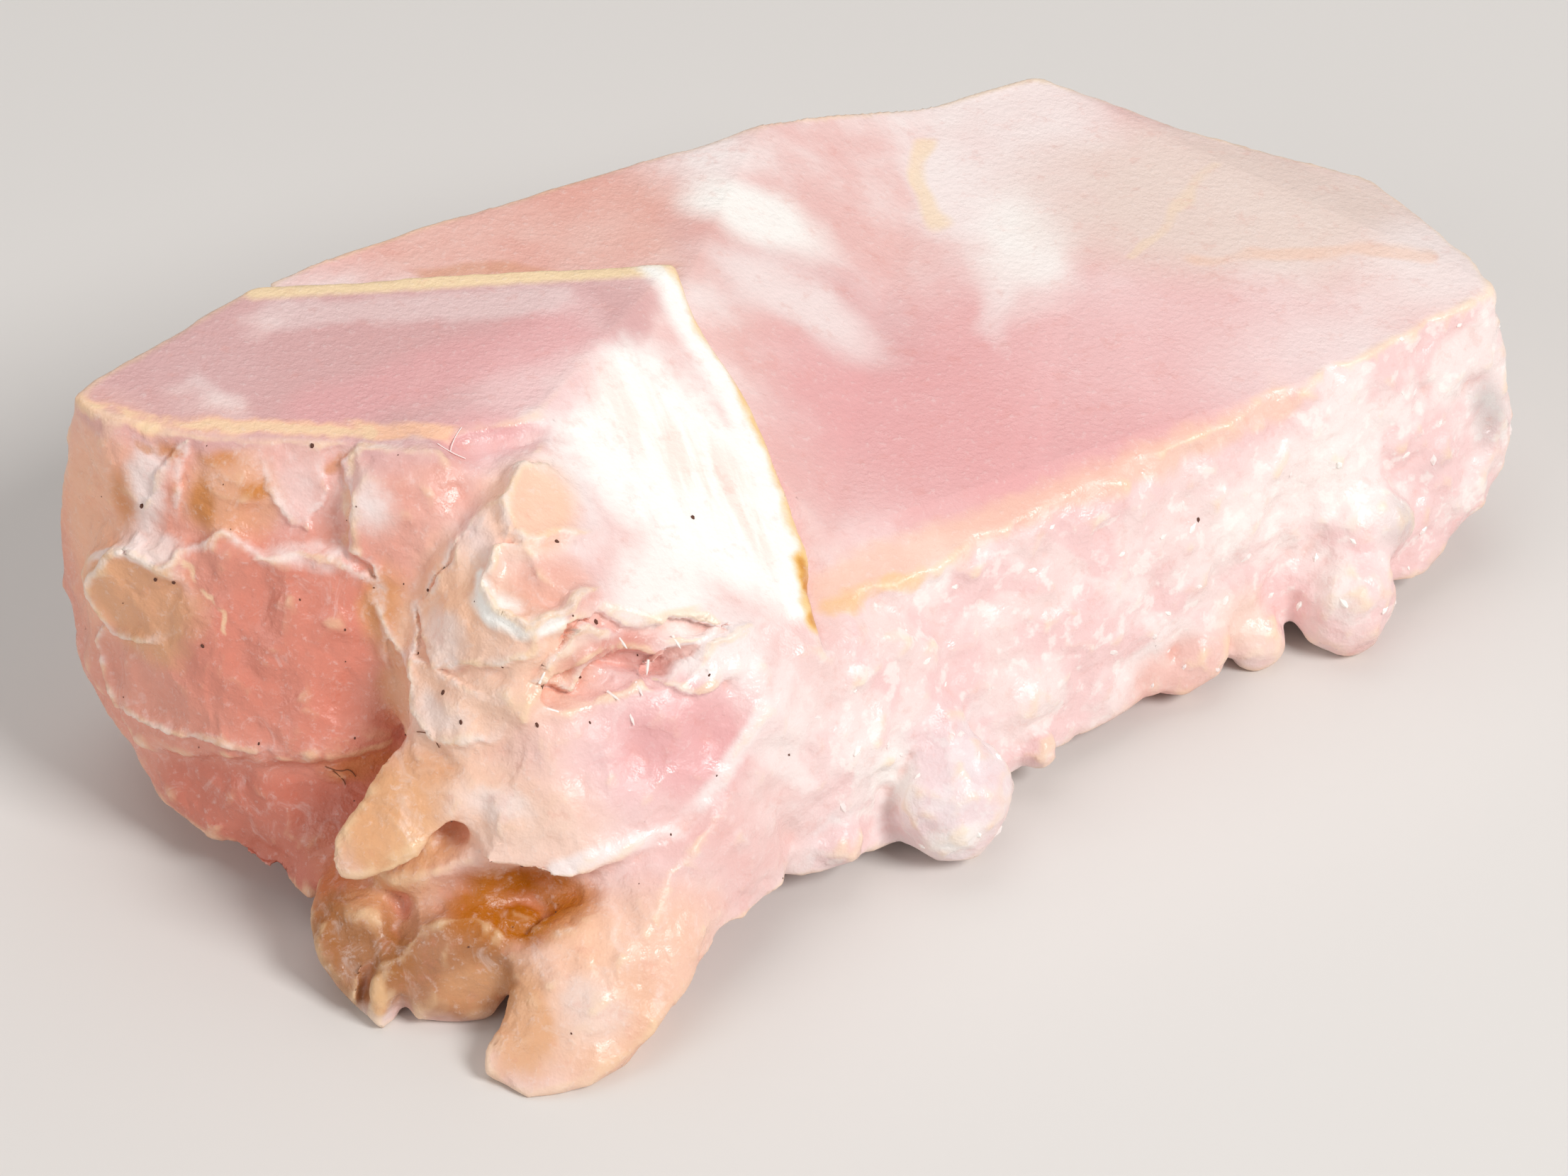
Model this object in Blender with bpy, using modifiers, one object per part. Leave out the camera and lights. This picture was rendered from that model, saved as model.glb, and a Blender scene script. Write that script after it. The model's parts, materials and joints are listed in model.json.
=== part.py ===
"""Rose quartz specimen: one broken piece of massive pink quartz, modelled in metres with +Z up.

The stone lies on a few rough feet. Seen from the front it has a raised block on the left with a
flat top, a lower smooth floor with a shallow valley on the right, a flaky nose between them, and a
granular side that ends in knobs below. Corners are in millimetres from a point near the middle of
the stone: x to the right, y to the back, z up. The last step centres the stone over the origin.
"""

from math import radians

import bmesh
import bpy
from mathutils import Matrix, Vector

MM = 0.001
NAME = "rose_quartz"

# Heights of the cleaved faces above the surface that the stone lies on, in millimetres.
BLOCK_TOP = 18.0
STRIP_TOP = 16.0
CREST_FOOT = 15.2
VALLEY_FRONT = 11.7
VALLEY_BACK = 13.0
RIM_RIGHT = 12.0
RIM_LOW = 11.6

# Working sizes, in millimetres: what the cleavers take off, the grain of the fused skin, the half
# size of a cleaver, and how far a thin layer reaches back and down into the stone.
SPARE = 1.5
VOXEL = 0.34
REACH = 80.0
LAYER_BACK = 2.2
LAYER_DROP = 0.5
LAYER_NARROWING = 0.94
FOOT_SPARE = 0.3
TRIANGLES = 9300

# Where the kinds of break begin and end, in millimetres. The fold is crossed along x, the front
# along y, the underside along z, and the sides by how far a spot lies behind a slanting line.
FOLD = (-2.0, 2.5)
FRONT = (-1.5, 2.5)
UNDERSIDE = (2.0, 6.0)
BACK_RIM = (7.0, 14.0)
SIDE_SLOPE = 0.70
SIDE_DEPTH = (2.5, 6.0)
UNDER_SLOPE = 0.55
UNDER_DEPTH = (-2.0, 3.0)
BACK_SLOPE = 0.35
BACK_DEPTH = (6.0, 11.0)

# The corners that several faces share.
LEFT_CORNER = (-26.2, 0.2, BLOCK_TOP)
BACK_CORNER = (-20.1, 7.2, BLOCK_TOP)
PEAK = (-4.2, 8.7, BLOCK_TOP)
BLOCK_FRONT = (-8.2, -0.9, BLOCK_TOP - 0.5)
PEAK_FOOT = (-3.8, 8.9, CREST_FOOT)
VALLEY_MOUTH = (1.0, -4.2, VALLEY_FRONT)
VALLEY_END = (5.8, 23.4, VALLEY_BACK)
RIM_PEAK = (10.8, 28.3, 13.1)
RIGHT_CORNER = (28.3, 15.3, RIM_RIGHT)


def rim(*corners):
    """Return the corners of a cleaved rim, each with one above it for the cleaver to take off."""
    raised = [(x, y, z + SPARE) for x, y, z in corners]
    return [*corners, *raised]


# Convex chunks that the stone is built up from, each by the corners it spans.
CHUNKS = {
    "block": [
        *rim(LEFT_CORNER, (-25.2, 1.6, BLOCK_TOP), (-22.9, 3.8, BLOCK_TOP), BACK_CORNER, PEAK),
        *rim((-13.9, -1.9, BLOCK_TOP), (-17.4, -1.9, BLOCK_TOP), (-22.0, -1.7, BLOCK_TOP)),
        BLOCK_FRONT, (-26.6, 0.2, 16.0), (-27.3, 0.9, 14.0), (-27.8, 1.1, 11.5),
        (-27.8, 1.0, 8.5), (-27.0, -0.6, 5.5), (-26.4, -1.7, 4.5), (-25.0, -3.1, 3.3),
        (-23.5, -4.9, 2.3), (-21.1, -7.2, 1.5), (-19.7, -8.4, 1.0), (-18.0, -9.3, 1.2),
        (-15.0, -7.5, 5.0), (-24.0, 6.0, 3.0), (-20.5, 9.0, 1.5), (-12.0, -6.0, 2.0),
        (-5.0, 10.0, 2.0),
    ],
    "back_strip": [
        *rim((-20.0, 10.1, STRIP_TOP), (-16.0, 12.7, STRIP_TOP), (-11.2, 15.0, STRIP_TOP)),
        *rim((-8.1, 16.8, STRIP_TOP), (-4.4, 19.1, STRIP_TOP), (-19.6, 7.4, STRIP_TOP)),
        (0.0, 5.0, STRIP_TOP), (-20.6, 11.6, 6.0), (-10.0, 18.2, 7.0), (-4.0, 22.0, 6.0),
        (-18.0, 10.0, 1.5), (-7.0, 17.5, 0.8), (-16.0, 0.0, 1.5), (0.0, 0.0, 0.0),
    ],
    "valley_side": [
        *rim((-4.4, 19.1, STRIP_TOP), (-0.6, 20.9, STRIP_TOP), (3.2, 23.9, 14.5)),
        *rim((6.5, 26.1, 13.6), RIM_PEAK, (1.2, -0.9, VALLEY_FRONT), (-6.0, 2.0, STRIP_TOP)),
        (1.0, -3.7, 11.1), (0.0, -8.3, 1.4), (1.5, -7.6, 1.4), (3.3, -5.7, 0.9),
        (4.5, -5.5, 0.9), (-6.0, -6.0, 2.0), (-4.0, 21.5, 4.0), (4.0, 26.5, 5.0),
        (9.5, 29.2, 5.0), (-4.0, 17.0, 0.0), (6.0, 23.0, 0.0), (8.0, -3.0, 1.0),
        (9.0, 3.0, 12.0),
    ],
    "floor": [
        *rim((1.2, -0.9, VALLEY_FRONT), (7.5, 2.9, 11.9), (17.1, 7.6, 11.9), RIGHT_CORNER),
        *rim((6.5, 26.2, 13.6), RIM_PEAK, (12.1, 27.6, 13.0), (14.4, 26.2, 12.8)),
        *rim((17.3, 25.2, 12.3)),
        (1.0, -3.7, 11.1), (7.2, 0.2, 11.1), (12.7, 4.4, 11.1), (19.7, 8.2, 11.2),
        (23.7, 12.2, 11.6), (4.5, -5.5, 0.9), (10.0, 0.9, 1.2), (13.5, 4.0, 0.9),
        (17.7, 5.4, 0.9), (20.4, 7.4, 1.4), (10.0, 28.8, 5.0), (17.5, 25.8, 4.0),
        (11.0, 24.0, 0.5), (25.0, 14.0, 1.0),
    ],
    "right_end": [
        *rim((17.3, 25.2, 12.3), (24.2, 23.3, RIM_LOW), (25.4, 21.3, RIM_LOW)),
        *rim((26.5, 19.5, RIM_LOW + 0.1), (27.8, 16.6, RIM_RIGHT - 0.1), RIGHT_CORNER),
        (28.9, 15.4, 10.5), (29.2, 15.4, 8.5), (29.8, 15.0, 6.0), (29.8, 13.9, 4.0),
        (28.8, 13.1, 2.5), (27.3, 11.5, 1.5), (25.9, 9.9, 1.1), (19.7, 8.2, 11.2),
        (20.4, 7.2, 1.4), (24.5, 22.8, 4.0), (18.0, 25.0, 3.0), (20.0, 20.0, 0.8),
        (28.0, 18.0, 4.0),
    ],
    "keel": [
        (-12.0, -1.0, -SPARE), (-9.0, 12.0, -SPARE), (3.0, 17.0, -SPARE), (10.0, 12.0, -SPARE),
        (7.0, 0.0, -SPARE), (-3.0, -3.5, -SPARE), (-14.0, 2.0, 6.0), (14.0, 8.0, 6.0),
        (0.0, 20.0, 6.0), (0.0, -5.0, 6.0),
    ],
    "nose": [
        BLOCK_FRONT, (-11.0, -4.6, 17.0), (-10.3, -5.4, 17.6), (-8.6, -7.5, 16.4),
        (-2.9, -6.8, 13.9), VALLEY_MOUTH, (-13.2, -6.0, 12.5), (-13.6, -8.0, 10.0),
        (-13.8, -8.6, 9.0), (-12.1, -11.2, 7.6), (-10.9, -12.9, 6.3), (-7.9, -13.4, 6.0),
        (-6.4, -12.2, 6.3), (-3.8, -11.2, 6.8), (-2.3, -9.8, 7.8), (-0.6, -8.1, 10.0),
        PEAK, (-12.0, -6.5, 4.5), (-3.0, -6.0, 3.0), (-10.0, 0.0, 4.0),
    ],
    "claw": [
        (-14.0, -8.6, 9.7), (-10.6, -9.8, 10.0), (-15.3, -10.4, 8.2), (-16.7, -11.8, 6.6),
        (-16.8, -12.4, 5.9), (-16.2, -12.9, 5.4), (-15.4, -12.9, 5.5), (-13.4, -12.4, 6.6),
        (-11.9, -12.0, 7.8), (-11.3, -11.2, 9.0), (-13.5, -8.0, 6.8), (-11.0, -8.0, 7.0),
    ],
    "under_nose": [
        (-16.0, -10.6, 4.4), (-14.6, -11.8, 4.4), (-12.4, -12.1, 5.6), (-10.8, -11.6, 6.8),
        (-7.0, -12.0, 5.2), (-4.0, -10.0, 5.0), (-12.4, -12.0, 3.2), (-8.6, -12.0, 3.0),
        (-14.0, -9.0, 1.0), (-12.0, -11.2, 1.4), (-8.4, -11.2, 1.4), (-3.0, -9.0, 1.0),
        (-12.0, -3.0, 1.0), (-4.0, -3.0, 1.0), (-12.0, -3.0, 6.0), (-4.0, -3.0, 6.0),
    ],
    "fold": [
        VALLEY_MOUTH, (-0.6, -8.0, 10.0), (-2.3, -9.7, 7.8), (-3.8, -11.1, 6.6),
        (0.9, -7.8, 6.0), (3.0, -6.6, 5.0), (0.1, -8.3, 1.4), (3.3, -5.6, 1.0),
        (-3.0, -10.0, 3.0), (2.0, 0.0, 8.0), (2.6, -3.2, 10.6), (5.8, -2.3, 8.5),
        (6.2, -3.2, 5.5), (0.2, -6.4, 10.9),
    ],
    "front_foot": [
        (-10.8, -16.6, 1.2), (-11.1, -17.7, 0.6), (-9.3, -18.7, 0.2), (-7.4, -18.2, 0.4),
        (-5.7, -17.3, 0.9), (-4.3, -16.0, 1.8), (-3.2, -14.0, 2.2), (-2.3, -12.4, 2.6),
        (-9.9, -15.4, 1.8), (-9.8, -14.0, 2.9), (-9.5, -13.3, 4.0),
        (-8.9, -14.6, 3.8), (-8.0, -15.6, 3.5), (-5.7, -15.5, 4.1), (-4.3, -13.3, 5.1),
        (-6.7, -13.9, 4.4), (-3.5, -11.6, 6.4), (-9.8, -15.6, -SPARE), (-8.6, -17.2, -SPARE),
        (-6.4, -15.8, -SPARE), (-3.0, -9.0, 3.0), (-5.0, -9.0, 3.0),
    ],
    "front_root": [
        (-3.5, -11.8, 6.4), (-1.2, -8.8, 8.4), (0.3, -9.2, 2.4), (-2.1, -12.4, 2.5),
        (-4.3, -13.4, 5.1), (-6.6, -13.8, 4.4), (-6.0, -8.0, 3.0), (0.0, -4.0, 4.0),
        (-1.0, -10.5, 2.1),
    ],
    "left_foot": [
        (-13.3, -13.4, 4.0), (-11.6, -13.2, 4.3), (-10.4, -13.6, 3.8), (-9.8, -14.3, 2.6),
        (-10.7, -14.8, 0.8), (-12.3, -14.7, 0.4), (-13.7, -14.7, 0.5), (-14.4, -14.2, 2.6),
        (-13.5, -8.0, 3.5), (-9.5, -8.0, 3.5), (-13.2, -13.4, -SPARE), (-11.2, -13.2, -SPARE),
        (-12.0, -9.0, 0.8),
    ],
    "left_lobe": [
        (-17.7, -12.4, 2.6), (-17.3, -13.1, 1.6), (-16.1, -14.4, 1.0), (-14.9, -15.3, 0.4),
        (-14.5, -14.3, 2.4), (-16.8, -11.8, 3.6), (-15.2, -12.6, 3.8), (-17.7, -10.6, 2.2),
        (-14.6, -14.0, -SPARE), (-15.4, -13.0, -SPARE), (-14.0, -12.8, -SPARE),
        (-14.5, -7.0, 4.0), (-17.0, -7.0, 3.0),
    ],
}

# Thin layers that stand proud of the broken front, each by its outer corners.
LAYERS = {
    "face_layer": [
        (-21.5, -4.0, 14.2), (-18.6, -4.7, 14.2), (-16.1, -4.6, 14.4), (-15.0, -5.4, 12.2),
        (-14.6, -6.1, 10.0), (-14.9, -7.3, 7.2), (-17.6, -7.8, 7.0), (-20.8, -7.1, 6.5),
        (-24.6, -4.4, 4.8), (-26.8, -1.7, 6.5), (-26.7, -1.5, 9.8), (-25.3, -2.4, 12.6),
    ],
    "left_scale": [
        (-26.7, -1.7, 10.5), (-26.3, -2.0, 12.0), (-25.4, -2.8, 13.3), (-23.9, -3.5, 14.0),
        (-22.2, -4.0, 14.0), (-21.3, -4.5, 12.8), (-20.6, -5.1, 11.0), (-24.3, -3.6, 8.7),
        (-26.0, -2.0, 9.0),
    ],
    "middle_top": [
        (-15.9, -3.5, 17.5), (-16.2, -4.2, 16.1), (-16.0, -4.9, 14.6), (-14.7, -5.4, 13.4),
        (-12.2, -5.3, 13.9), (-11.5, -3.8, 17.0), (-13.9, -2.6, 17.9), (-10.4, -3.9, 17.2),
        (-9.4, -2.6, 17.5), (-11.0, -5.0, 15.5),
    ],
    "middle_low": [
        (-14.8, -5.2, 13.4), (-14.8, -5.9, 11.9), (-14.7, -6.6, 10.1), (-14.1, -7.6, 7.7),
        (-13.0, -7.7, 10.0), (-13.1, -6.2, 12.5), (-12.2, -5.2, 13.9),
    ],
    "upper_flake": [
        (-11.3, -5.2, 17.2), (-13.7, -5.7, 12.8), (-13.5, -7.0, 11.9), (-12.6, -8.4, 12.0),
        (-9.2, -9.7, 13.4), (-8.5, -9.1, 14.2), (-10.7, -8.2, 14.4),
    ],
    "lower_flake": [
        (-13.9, -7.3, 11.6), (-14.0, -8.4, 9.9), (-13.5, -9.4, 9.3), (-11.0, -10.8, 10.2),
        (-9.5, -10.8, 11.3), (-9.2, -10.1, 12.5), (-12.5, -8.6, 11.8),
    ],
    "lens_flake": [
        (-11.3, -7.7, 15.0), (-10.8, -8.6, 14.5), (-9.3, -9.4, 14.4), (-7.4, -9.1, 14.6),
        (-7.4, -7.7, 15.8), (-8.8, -6.8, 16.6), (-10.6, -6.4, 16.6), (-11.3, -6.9, 15.9),
    ],
}

# Shell-shaped hollows broken out of the front: middle, half sizes and lean in degrees.
HOLLOWS = {
    "nose_hollow": ((-5.9, -9.6, 12.7), (3.2, 1.5, 1.0), -14.0),
    "small_hollow": ((-3.6, -8.6, 12.3), (1.6, 1.1, 0.6), -20.0),
    "slot": ((-15.4, -14.6, 2.2), (0.35, 1.2, 2.2), 12.0),
    "cavity": ((-10.0, -13.6, 4.9), (2.7, 1.3, 0.8), 8.0),
}

# The noises that roughen the stone: kind of break, grain size and depth in millimetres.
NOISES = {
    "coarse_break": ("broken", 3.5, 1.5),
    "fine_break": ("broken", 1.2, 0.5),
    "sugar_lumps": ("granular", 2.2, 0.9),
    "sugar_grains": ("granular", 0.9, 0.3),
    "front_break": ("flaky", 1.8, 0.5),
}

# Rounded knobs on the lower side: middle, half sizes and lean to the right in degrees.
KNOBS = {
    "front_knob": ((6.4, -4.5, 2.5), (2.5, 2.5, 2.7), 0.0),
    "front_knob_top": ((5.2, -3.2, 4.6), (2.0, 1.6, 1.8), 20.0),
    "small_knob": ((1.9, -6.6, 2.2), (1.2, 1.2, 1.1), 0.0),
    "bead_knob": ((9.9, -1.2, 1.9), (0.9, 0.9, 0.9), 0.0),
    "long_lobe": ((15.5, 4.5, 1.6), (2.5, 1.5, 1.5), -6.0),
    "inner_lobe": ((18.8, 6.3, 1.1), (1.4, 1.3, 1.5), 0.0),
    "right_lobe": ((22.6, 7.5, 2.2), (2.1, 2.1, 2.5), 12.0),
    "right_lobe_root": ((22.9, 9.6, 4.2), (2.3, 2.2, 2.8), 20.0),
    "right_lobe_back": ((25.0, 11.5, 3.3), (1.6, 1.6, 1.8), 0.0),
}

# The faces that the stone was split along, in order. Each takes off what lies above all of its
# planes, on the side of its first point. A plane is given by three corners.
CREST = (PEAK, VALLEY_MOUTH, PEAK_FOOT)
CLEAVED = {
    "block_top": ((0.0, 5.0, 50.0), (LEFT_CORNER, BACK_CORNER, PEAK)),
    "back_strip": (
        (-12.0, 25.0, 40.0),
        ((-20.0, 10.3, STRIP_TOP), (-4.4, 19.4, STRIP_TOP - 0.3), (-4.2, 9.6, STRIP_TOP - 0.4)),
        (BACK_CORNER, PEAK, (-12.0, 9.0, STRIP_TOP)),
    ),
    "valley": (
        (20.0, 15.0, 50.0),
        CREST,
        (VALLEY_MOUTH, VALLEY_END, (-3.8, 10.0, 15.5)),
        (VALLEY_MOUTH, VALLEY_END, RIGHT_CORNER),
    ),
    "far_rim": ((20.0, 25.0, 50.0), ((12.1, 27.6, 13.0), RIGHT_CORNER, (24.2, 23.2, RIM_LOW))),
    "front_bevel": (
        (15.0, -5.0, 40.0),
        CREST,
        ((1.2, -0.9, 11.75), (17.1, 7.6, 11.9), (7.2, 0.3, 11.1)),
    ),
    "bright_face": ((-14.0, -8.0, 26.0), CREST, (PEAK, VALLEY_MOUTH, BLOCK_FRONT)),
}


def mm(corner):
    """Return a corner given in millimetres as a vector in metres."""
    return Vector(corner) * MM


def add_chunk(bm, corners):
    """Add the convex chunk that the corners span."""
    verts = [bm.verts.new(mm(corner)) for corner in corners]
    bmesh.ops.convex_hull(bm, input=verts)
    inner = [v for v in verts if v.is_valid and not v.link_faces]
    bmesh.ops.delete(bm, geom=inner, context="VERTS")


def add_knob(bm, middle, radii, lean):
    """Add a rounded knob, an ellipsoid that leans about the Y axis."""
    turn = Matrix.Rotation(radians(lean), 4, "Y")
    size = Matrix.Diagonal((*mm(radii), 1.0))
    place = Matrix.Translation(mm(middle)) @ turn @ size
    bmesh.ops.create_icosphere(bm, subdivisions=2, radius=1.0, matrix=place)


def add_layer(bm, outline):
    """Add a thin layer that reaches from its outer corners into the stone."""
    inner = [(x * LAYER_NARROWING, y + LAYER_BACK, z - LAYER_DROP) for x, y, z in outline]
    add_chunk(bm, [*outline, *inner])


def new_object(name, bm, collection):
    """Turn a bmesh into an object with its faces pointing out."""
    bmesh.ops.recalc_face_normals(bm, faces=bm.faces)
    mesh = bpy.data.meshes.new(name)
    bm.to_mesh(mesh)
    bm.free()
    obj = bpy.data.objects.new(name, mesh)
    collection.objects.link(obj)
    return obj


def new_collection(name):
    """Add a collection to the scene."""
    collection = bpy.data.collections.new(name)
    bpy.context.scene.collection.children.link(collection)
    return collection


def apply_modifiers(obj):
    """Give the object the mesh that its modifiers make, and drop them."""
    bpy.context.view_layer.update()
    graph = bpy.context.evaluated_depsgraph_get()
    made = bpy.data.meshes.new_from_object(obj.evaluated_get(graph))
    obj.modifiers.clear()
    old = obj.data
    obj.data = made
    bpy.data.meshes.remove(old)


def fuse(obj):
    """Fuse the overlapping chunks into one skin of small faces."""
    skin = obj.modifiers.new("skin", "REMESH")
    skin.mode = "VOXEL"
    skin.voxel_size = VOXEL * MM
    apply_modifiers(obj)


def wedge(toward, planes, collection, name):
    """Make the cutter that lies on the side of the point toward of every plane."""
    bm = bmesh.new()
    place = Matrix.Translation(mm(toward))
    bmesh.ops.create_cube(bm, size=2.0 * REACH * MM, matrix=place)
    for first, second, third in planes:
        origin = mm(first)
        normal = (mm(second) - origin).cross(mm(third) - origin).normalized()
        if normal.dot(mm(toward) - origin) > 0.0:
            normal.negate()
        whole = bm.verts[:] + bm.edges[:] + bm.faces[:]
        cut = bmesh.ops.bisect_plane(
            bm, geom=whole, plane_co=origin, plane_no=normal, clear_outer=True
        )
        edges = [item for item in cut["geom_cut"] if isinstance(item, bmesh.types.BMEdge)]
        bmesh.ops.edgenet_fill(bm, edges=edges)
    return new_object(name, bm, collection)


def subtract(stone, cutter):
    """Take the cutter's form out of the stone."""
    cutter.hide_render = True
    cutter.display_type = "WIRE"
    cut = stone.modifiers.new(cutter.name, "BOOLEAN")
    cut.operation = "DIFFERENCE"
    cut.object = cutter
    apply_modifiers(stone)


def cleave(stone, name, collection):
    """Split off one part of the stone along its named planes."""
    toward, *planes = CLEAVED[name]
    subtract(stone, wedge(toward, planes, collection, name))


def flatten_foot(stone, name, height, collection):
    """Cut off what reaches below a height in millimetres, so that the stone lies flat."""
    plane = ((0.0, 0.0, height), (REACH, 0.0, height), (0.0, REACH, height))
    subtract(stone, wedge((0.0, 0.0, height - REACH / 2.0), [plane], collection, name))


def rise(value, low, high):
    """Rise smoothly from 0 at low to 1 at high."""
    share = min(max((value - low) / (high - low), 0.0), 1.0)
    return share * share * (3.0 - 2.0 * share)


def fall(value, low, high):
    """Fall smoothly from 1 at low to 0 at high."""
    return 1.0 - rise(value, low, high)


def granular(spot):
    """Weigh the sugary side under the floor, from the fold to the right corner."""
    edge = VALLEY_MOUTH[1] + (spot.x - VALLEY_MOUTH[0]) * SIDE_SLOPE
    return rise(spot.x, *FOLD) * fall(spot.y - edge, *SIDE_DEPTH)


def flaky(spot):
    """Weigh the broken front of the block and the nose."""
    return fall(spot.x, *FOLD) * fall(spot.y, *FRONT)


def broken(spot):
    """Weigh the rough underside and the lower back, which fade out under the back rim."""
    under = fall(spot.z, *UNDERSIDE) * rise(spot.y - UNDER_SLOPE * spot.x, *UNDER_DEPTH)
    back = fall(spot.z, *BACK_RIM) * rise(spot.y - BACK_SLOPE * spot.x, *BACK_DEPTH)
    return max(under, back)


WEIGHTS = {"broken": broken, "granular": granular, "flaky": flaky}


def roughen(stone, name):
    """Push the skin in and out by a noise where its kind of break is."""
    kind, grain, depth = NOISES[name]
    weight = WEIGHTS[kind]
    group = stone.vertex_groups.new(name=name)
    for vertex in stone.data.vertices:
        share = weight(vertex.co / MM)
        if share > 0.0:
            group.add([vertex.index], share, "REPLACE")
    texture = bpy.data.textures.new(name, "CLOUDS")
    texture.noise_scale = grain * MM
    push = stone.modifiers.new(name, "DISPLACE")
    push.texture = texture
    push.strength = depth * MM
    push.mid_level = 0.5
    push.vertex_group = name
    apply_modifiers(stone)


def largest_piece(stone):
    """Drop every loose crumb and keep the stone itself."""
    bm = bmesh.new()
    bm.from_mesh(stone.data)
    left = set(bm.verts)
    pieces = []
    while left:
        piece = set()
        front = [left.pop()]
        while front:
            vertex = front.pop()
            piece.add(vertex)
            for edge in vertex.link_edges:
                other = edge.other_vert(vertex)
                if other in left:
                    left.remove(other)
                    front.append(other)
        pieces.append(piece)
    pieces.sort(key=len)
    for crumb in pieces[:-1]:
        bmesh.ops.delete(bm, geom=list(crumb), context="VERTS")
    bm.to_mesh(stone.data)
    bm.free()


def thin_out(stone):
    """Bring the skin down to the number of triangles that the solid may have."""
    bm = bmesh.new()
    bm.from_mesh(stone.data)
    bmesh.ops.triangulate(bm, faces=bm.faces)
    faces = len(bm.faces)
    bm.to_mesh(stone.data)
    bm.free()
    fewer = stone.modifiers.new("fewer", "DECIMATE")
    fewer.ratio = min(1.0, TRIANGLES / faces)
    apply_modifiers(stone)


def centre(stone):
    """Move the stone so that the origin is under the middle of its box."""
    spots = [vertex.co for vertex in stone.data.vertices]
    low = Vector(min(spot[axis] for spot in spots) for axis in range(3))
    high = Vector(max(spot[axis] for spot in spots) for axis in range(3))
    foot = Vector(((low.x + high.x) / 2.0, (low.y + high.y) / 2.0, low.z))
    stone.data.transform(Matrix.Translation(-foot))


def quartz():
    """Make the stone's material: pale pink, a little glossy."""
    material = bpy.data.materials.new("pink_quartz")
    material.use_nodes = True
    shader = material.node_tree.nodes["Principled BSDF"]
    shader.inputs["Base Color"].default_value = (0.80, 0.45, 0.40, 1.0)
    shader.inputs["Roughness"].default_value = 0.32
    shader.inputs["Metallic"].default_value = 0.0
    shader.inputs["IOR"].default_value = 1.544
    return material


def rough_stone(collection):
    """Build the uncleaved stone from its chunks, knobs and layers."""
    bm = bmesh.new()
    for corners in CHUNKS.values():
        add_chunk(bm, corners)
    for middle, radii, lean in KNOBS.values():
        add_knob(bm, middle, radii, lean)
    for outline in LAYERS.values():
        add_layer(bm, outline)
    stone = new_object(NAME, bm, collection)
    fuse(stone)
    return stone


def break_hollow(stone, name, collection):
    """Break one shell-shaped hollow out of the stone."""
    bm = bmesh.new()
    add_knob(bm, *HOLLOWS[name])
    subtract(stone, new_object(name, bm, collection))


def main():
    """Build the stone and nothing else."""
    for obj in list(bpy.data.objects):
        bpy.data.objects.remove(obj)
    parts = new_collection(NAME)
    cutters = new_collection("cutters")
    stone = rough_stone(parts)
    for name in NOISES:
        roughen(stone, name)
    for name in HOLLOWS:
        break_hollow(stone, name, cutters)
    for name in CLEAVED:
        cleave(stone, name, cutters)
    flatten_foot(stone, "rough_foot", -FOOT_SPARE, cutters)
    largest_piece(stone)
    thin_out(stone)
    flatten_foot(stone, "flat_foot", 0.0, cutters)
    centre(stone)
    stone.data.materials.clear()
    stone.data.materials.append(quartz())
    stone.data.shade_flat()


main()
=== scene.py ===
"""Dresses the rose quartz specimen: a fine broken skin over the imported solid, milky pink quartz,
small crystals, dust and lint, on a pale floor in soft studio light.

Places are in millimetres from the same point as in the solid's own source, x to the right, y to
the back and z up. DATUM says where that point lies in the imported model.
"""
import json
from math import cos, radians, sin

import bpy
import numpy as np
from mathutils import Matrix, Vector

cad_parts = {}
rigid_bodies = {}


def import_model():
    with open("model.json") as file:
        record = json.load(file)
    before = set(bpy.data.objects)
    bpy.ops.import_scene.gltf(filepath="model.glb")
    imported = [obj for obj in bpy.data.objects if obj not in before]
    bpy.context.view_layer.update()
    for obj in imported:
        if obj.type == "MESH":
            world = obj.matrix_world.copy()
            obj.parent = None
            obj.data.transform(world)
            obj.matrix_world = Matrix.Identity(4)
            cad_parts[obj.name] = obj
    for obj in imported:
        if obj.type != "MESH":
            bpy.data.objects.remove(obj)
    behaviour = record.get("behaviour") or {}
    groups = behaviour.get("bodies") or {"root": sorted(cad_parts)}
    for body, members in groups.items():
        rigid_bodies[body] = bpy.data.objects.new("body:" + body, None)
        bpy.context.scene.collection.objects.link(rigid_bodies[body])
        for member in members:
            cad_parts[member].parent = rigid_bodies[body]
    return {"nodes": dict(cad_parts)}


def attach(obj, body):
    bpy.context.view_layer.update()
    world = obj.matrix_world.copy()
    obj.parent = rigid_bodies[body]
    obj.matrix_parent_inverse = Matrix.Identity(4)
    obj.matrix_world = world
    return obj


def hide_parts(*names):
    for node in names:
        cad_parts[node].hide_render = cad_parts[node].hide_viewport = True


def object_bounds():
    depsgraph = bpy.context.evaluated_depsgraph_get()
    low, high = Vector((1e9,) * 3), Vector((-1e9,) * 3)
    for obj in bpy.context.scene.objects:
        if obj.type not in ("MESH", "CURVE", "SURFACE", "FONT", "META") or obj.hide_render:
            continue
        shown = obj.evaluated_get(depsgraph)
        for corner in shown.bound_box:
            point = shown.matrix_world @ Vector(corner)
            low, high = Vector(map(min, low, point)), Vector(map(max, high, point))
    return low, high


bl_info = {
    "name": "Rose Quartz Specimen",
    "version": (1, 0, 0),
    "blender": (4, 5, 0),
    "location": "3D View > Sidebar > Rose Quartz",
    "description": "Broken skin, milky pink colour, dust and studio for a rose quartz specimen",
    "category": "Object",
}

MM = 0.001
NODE = "rose_quartz"
BODY = "root"
DATUM = (-0.954, -5.562, 0.0)
SEED = 11

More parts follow.
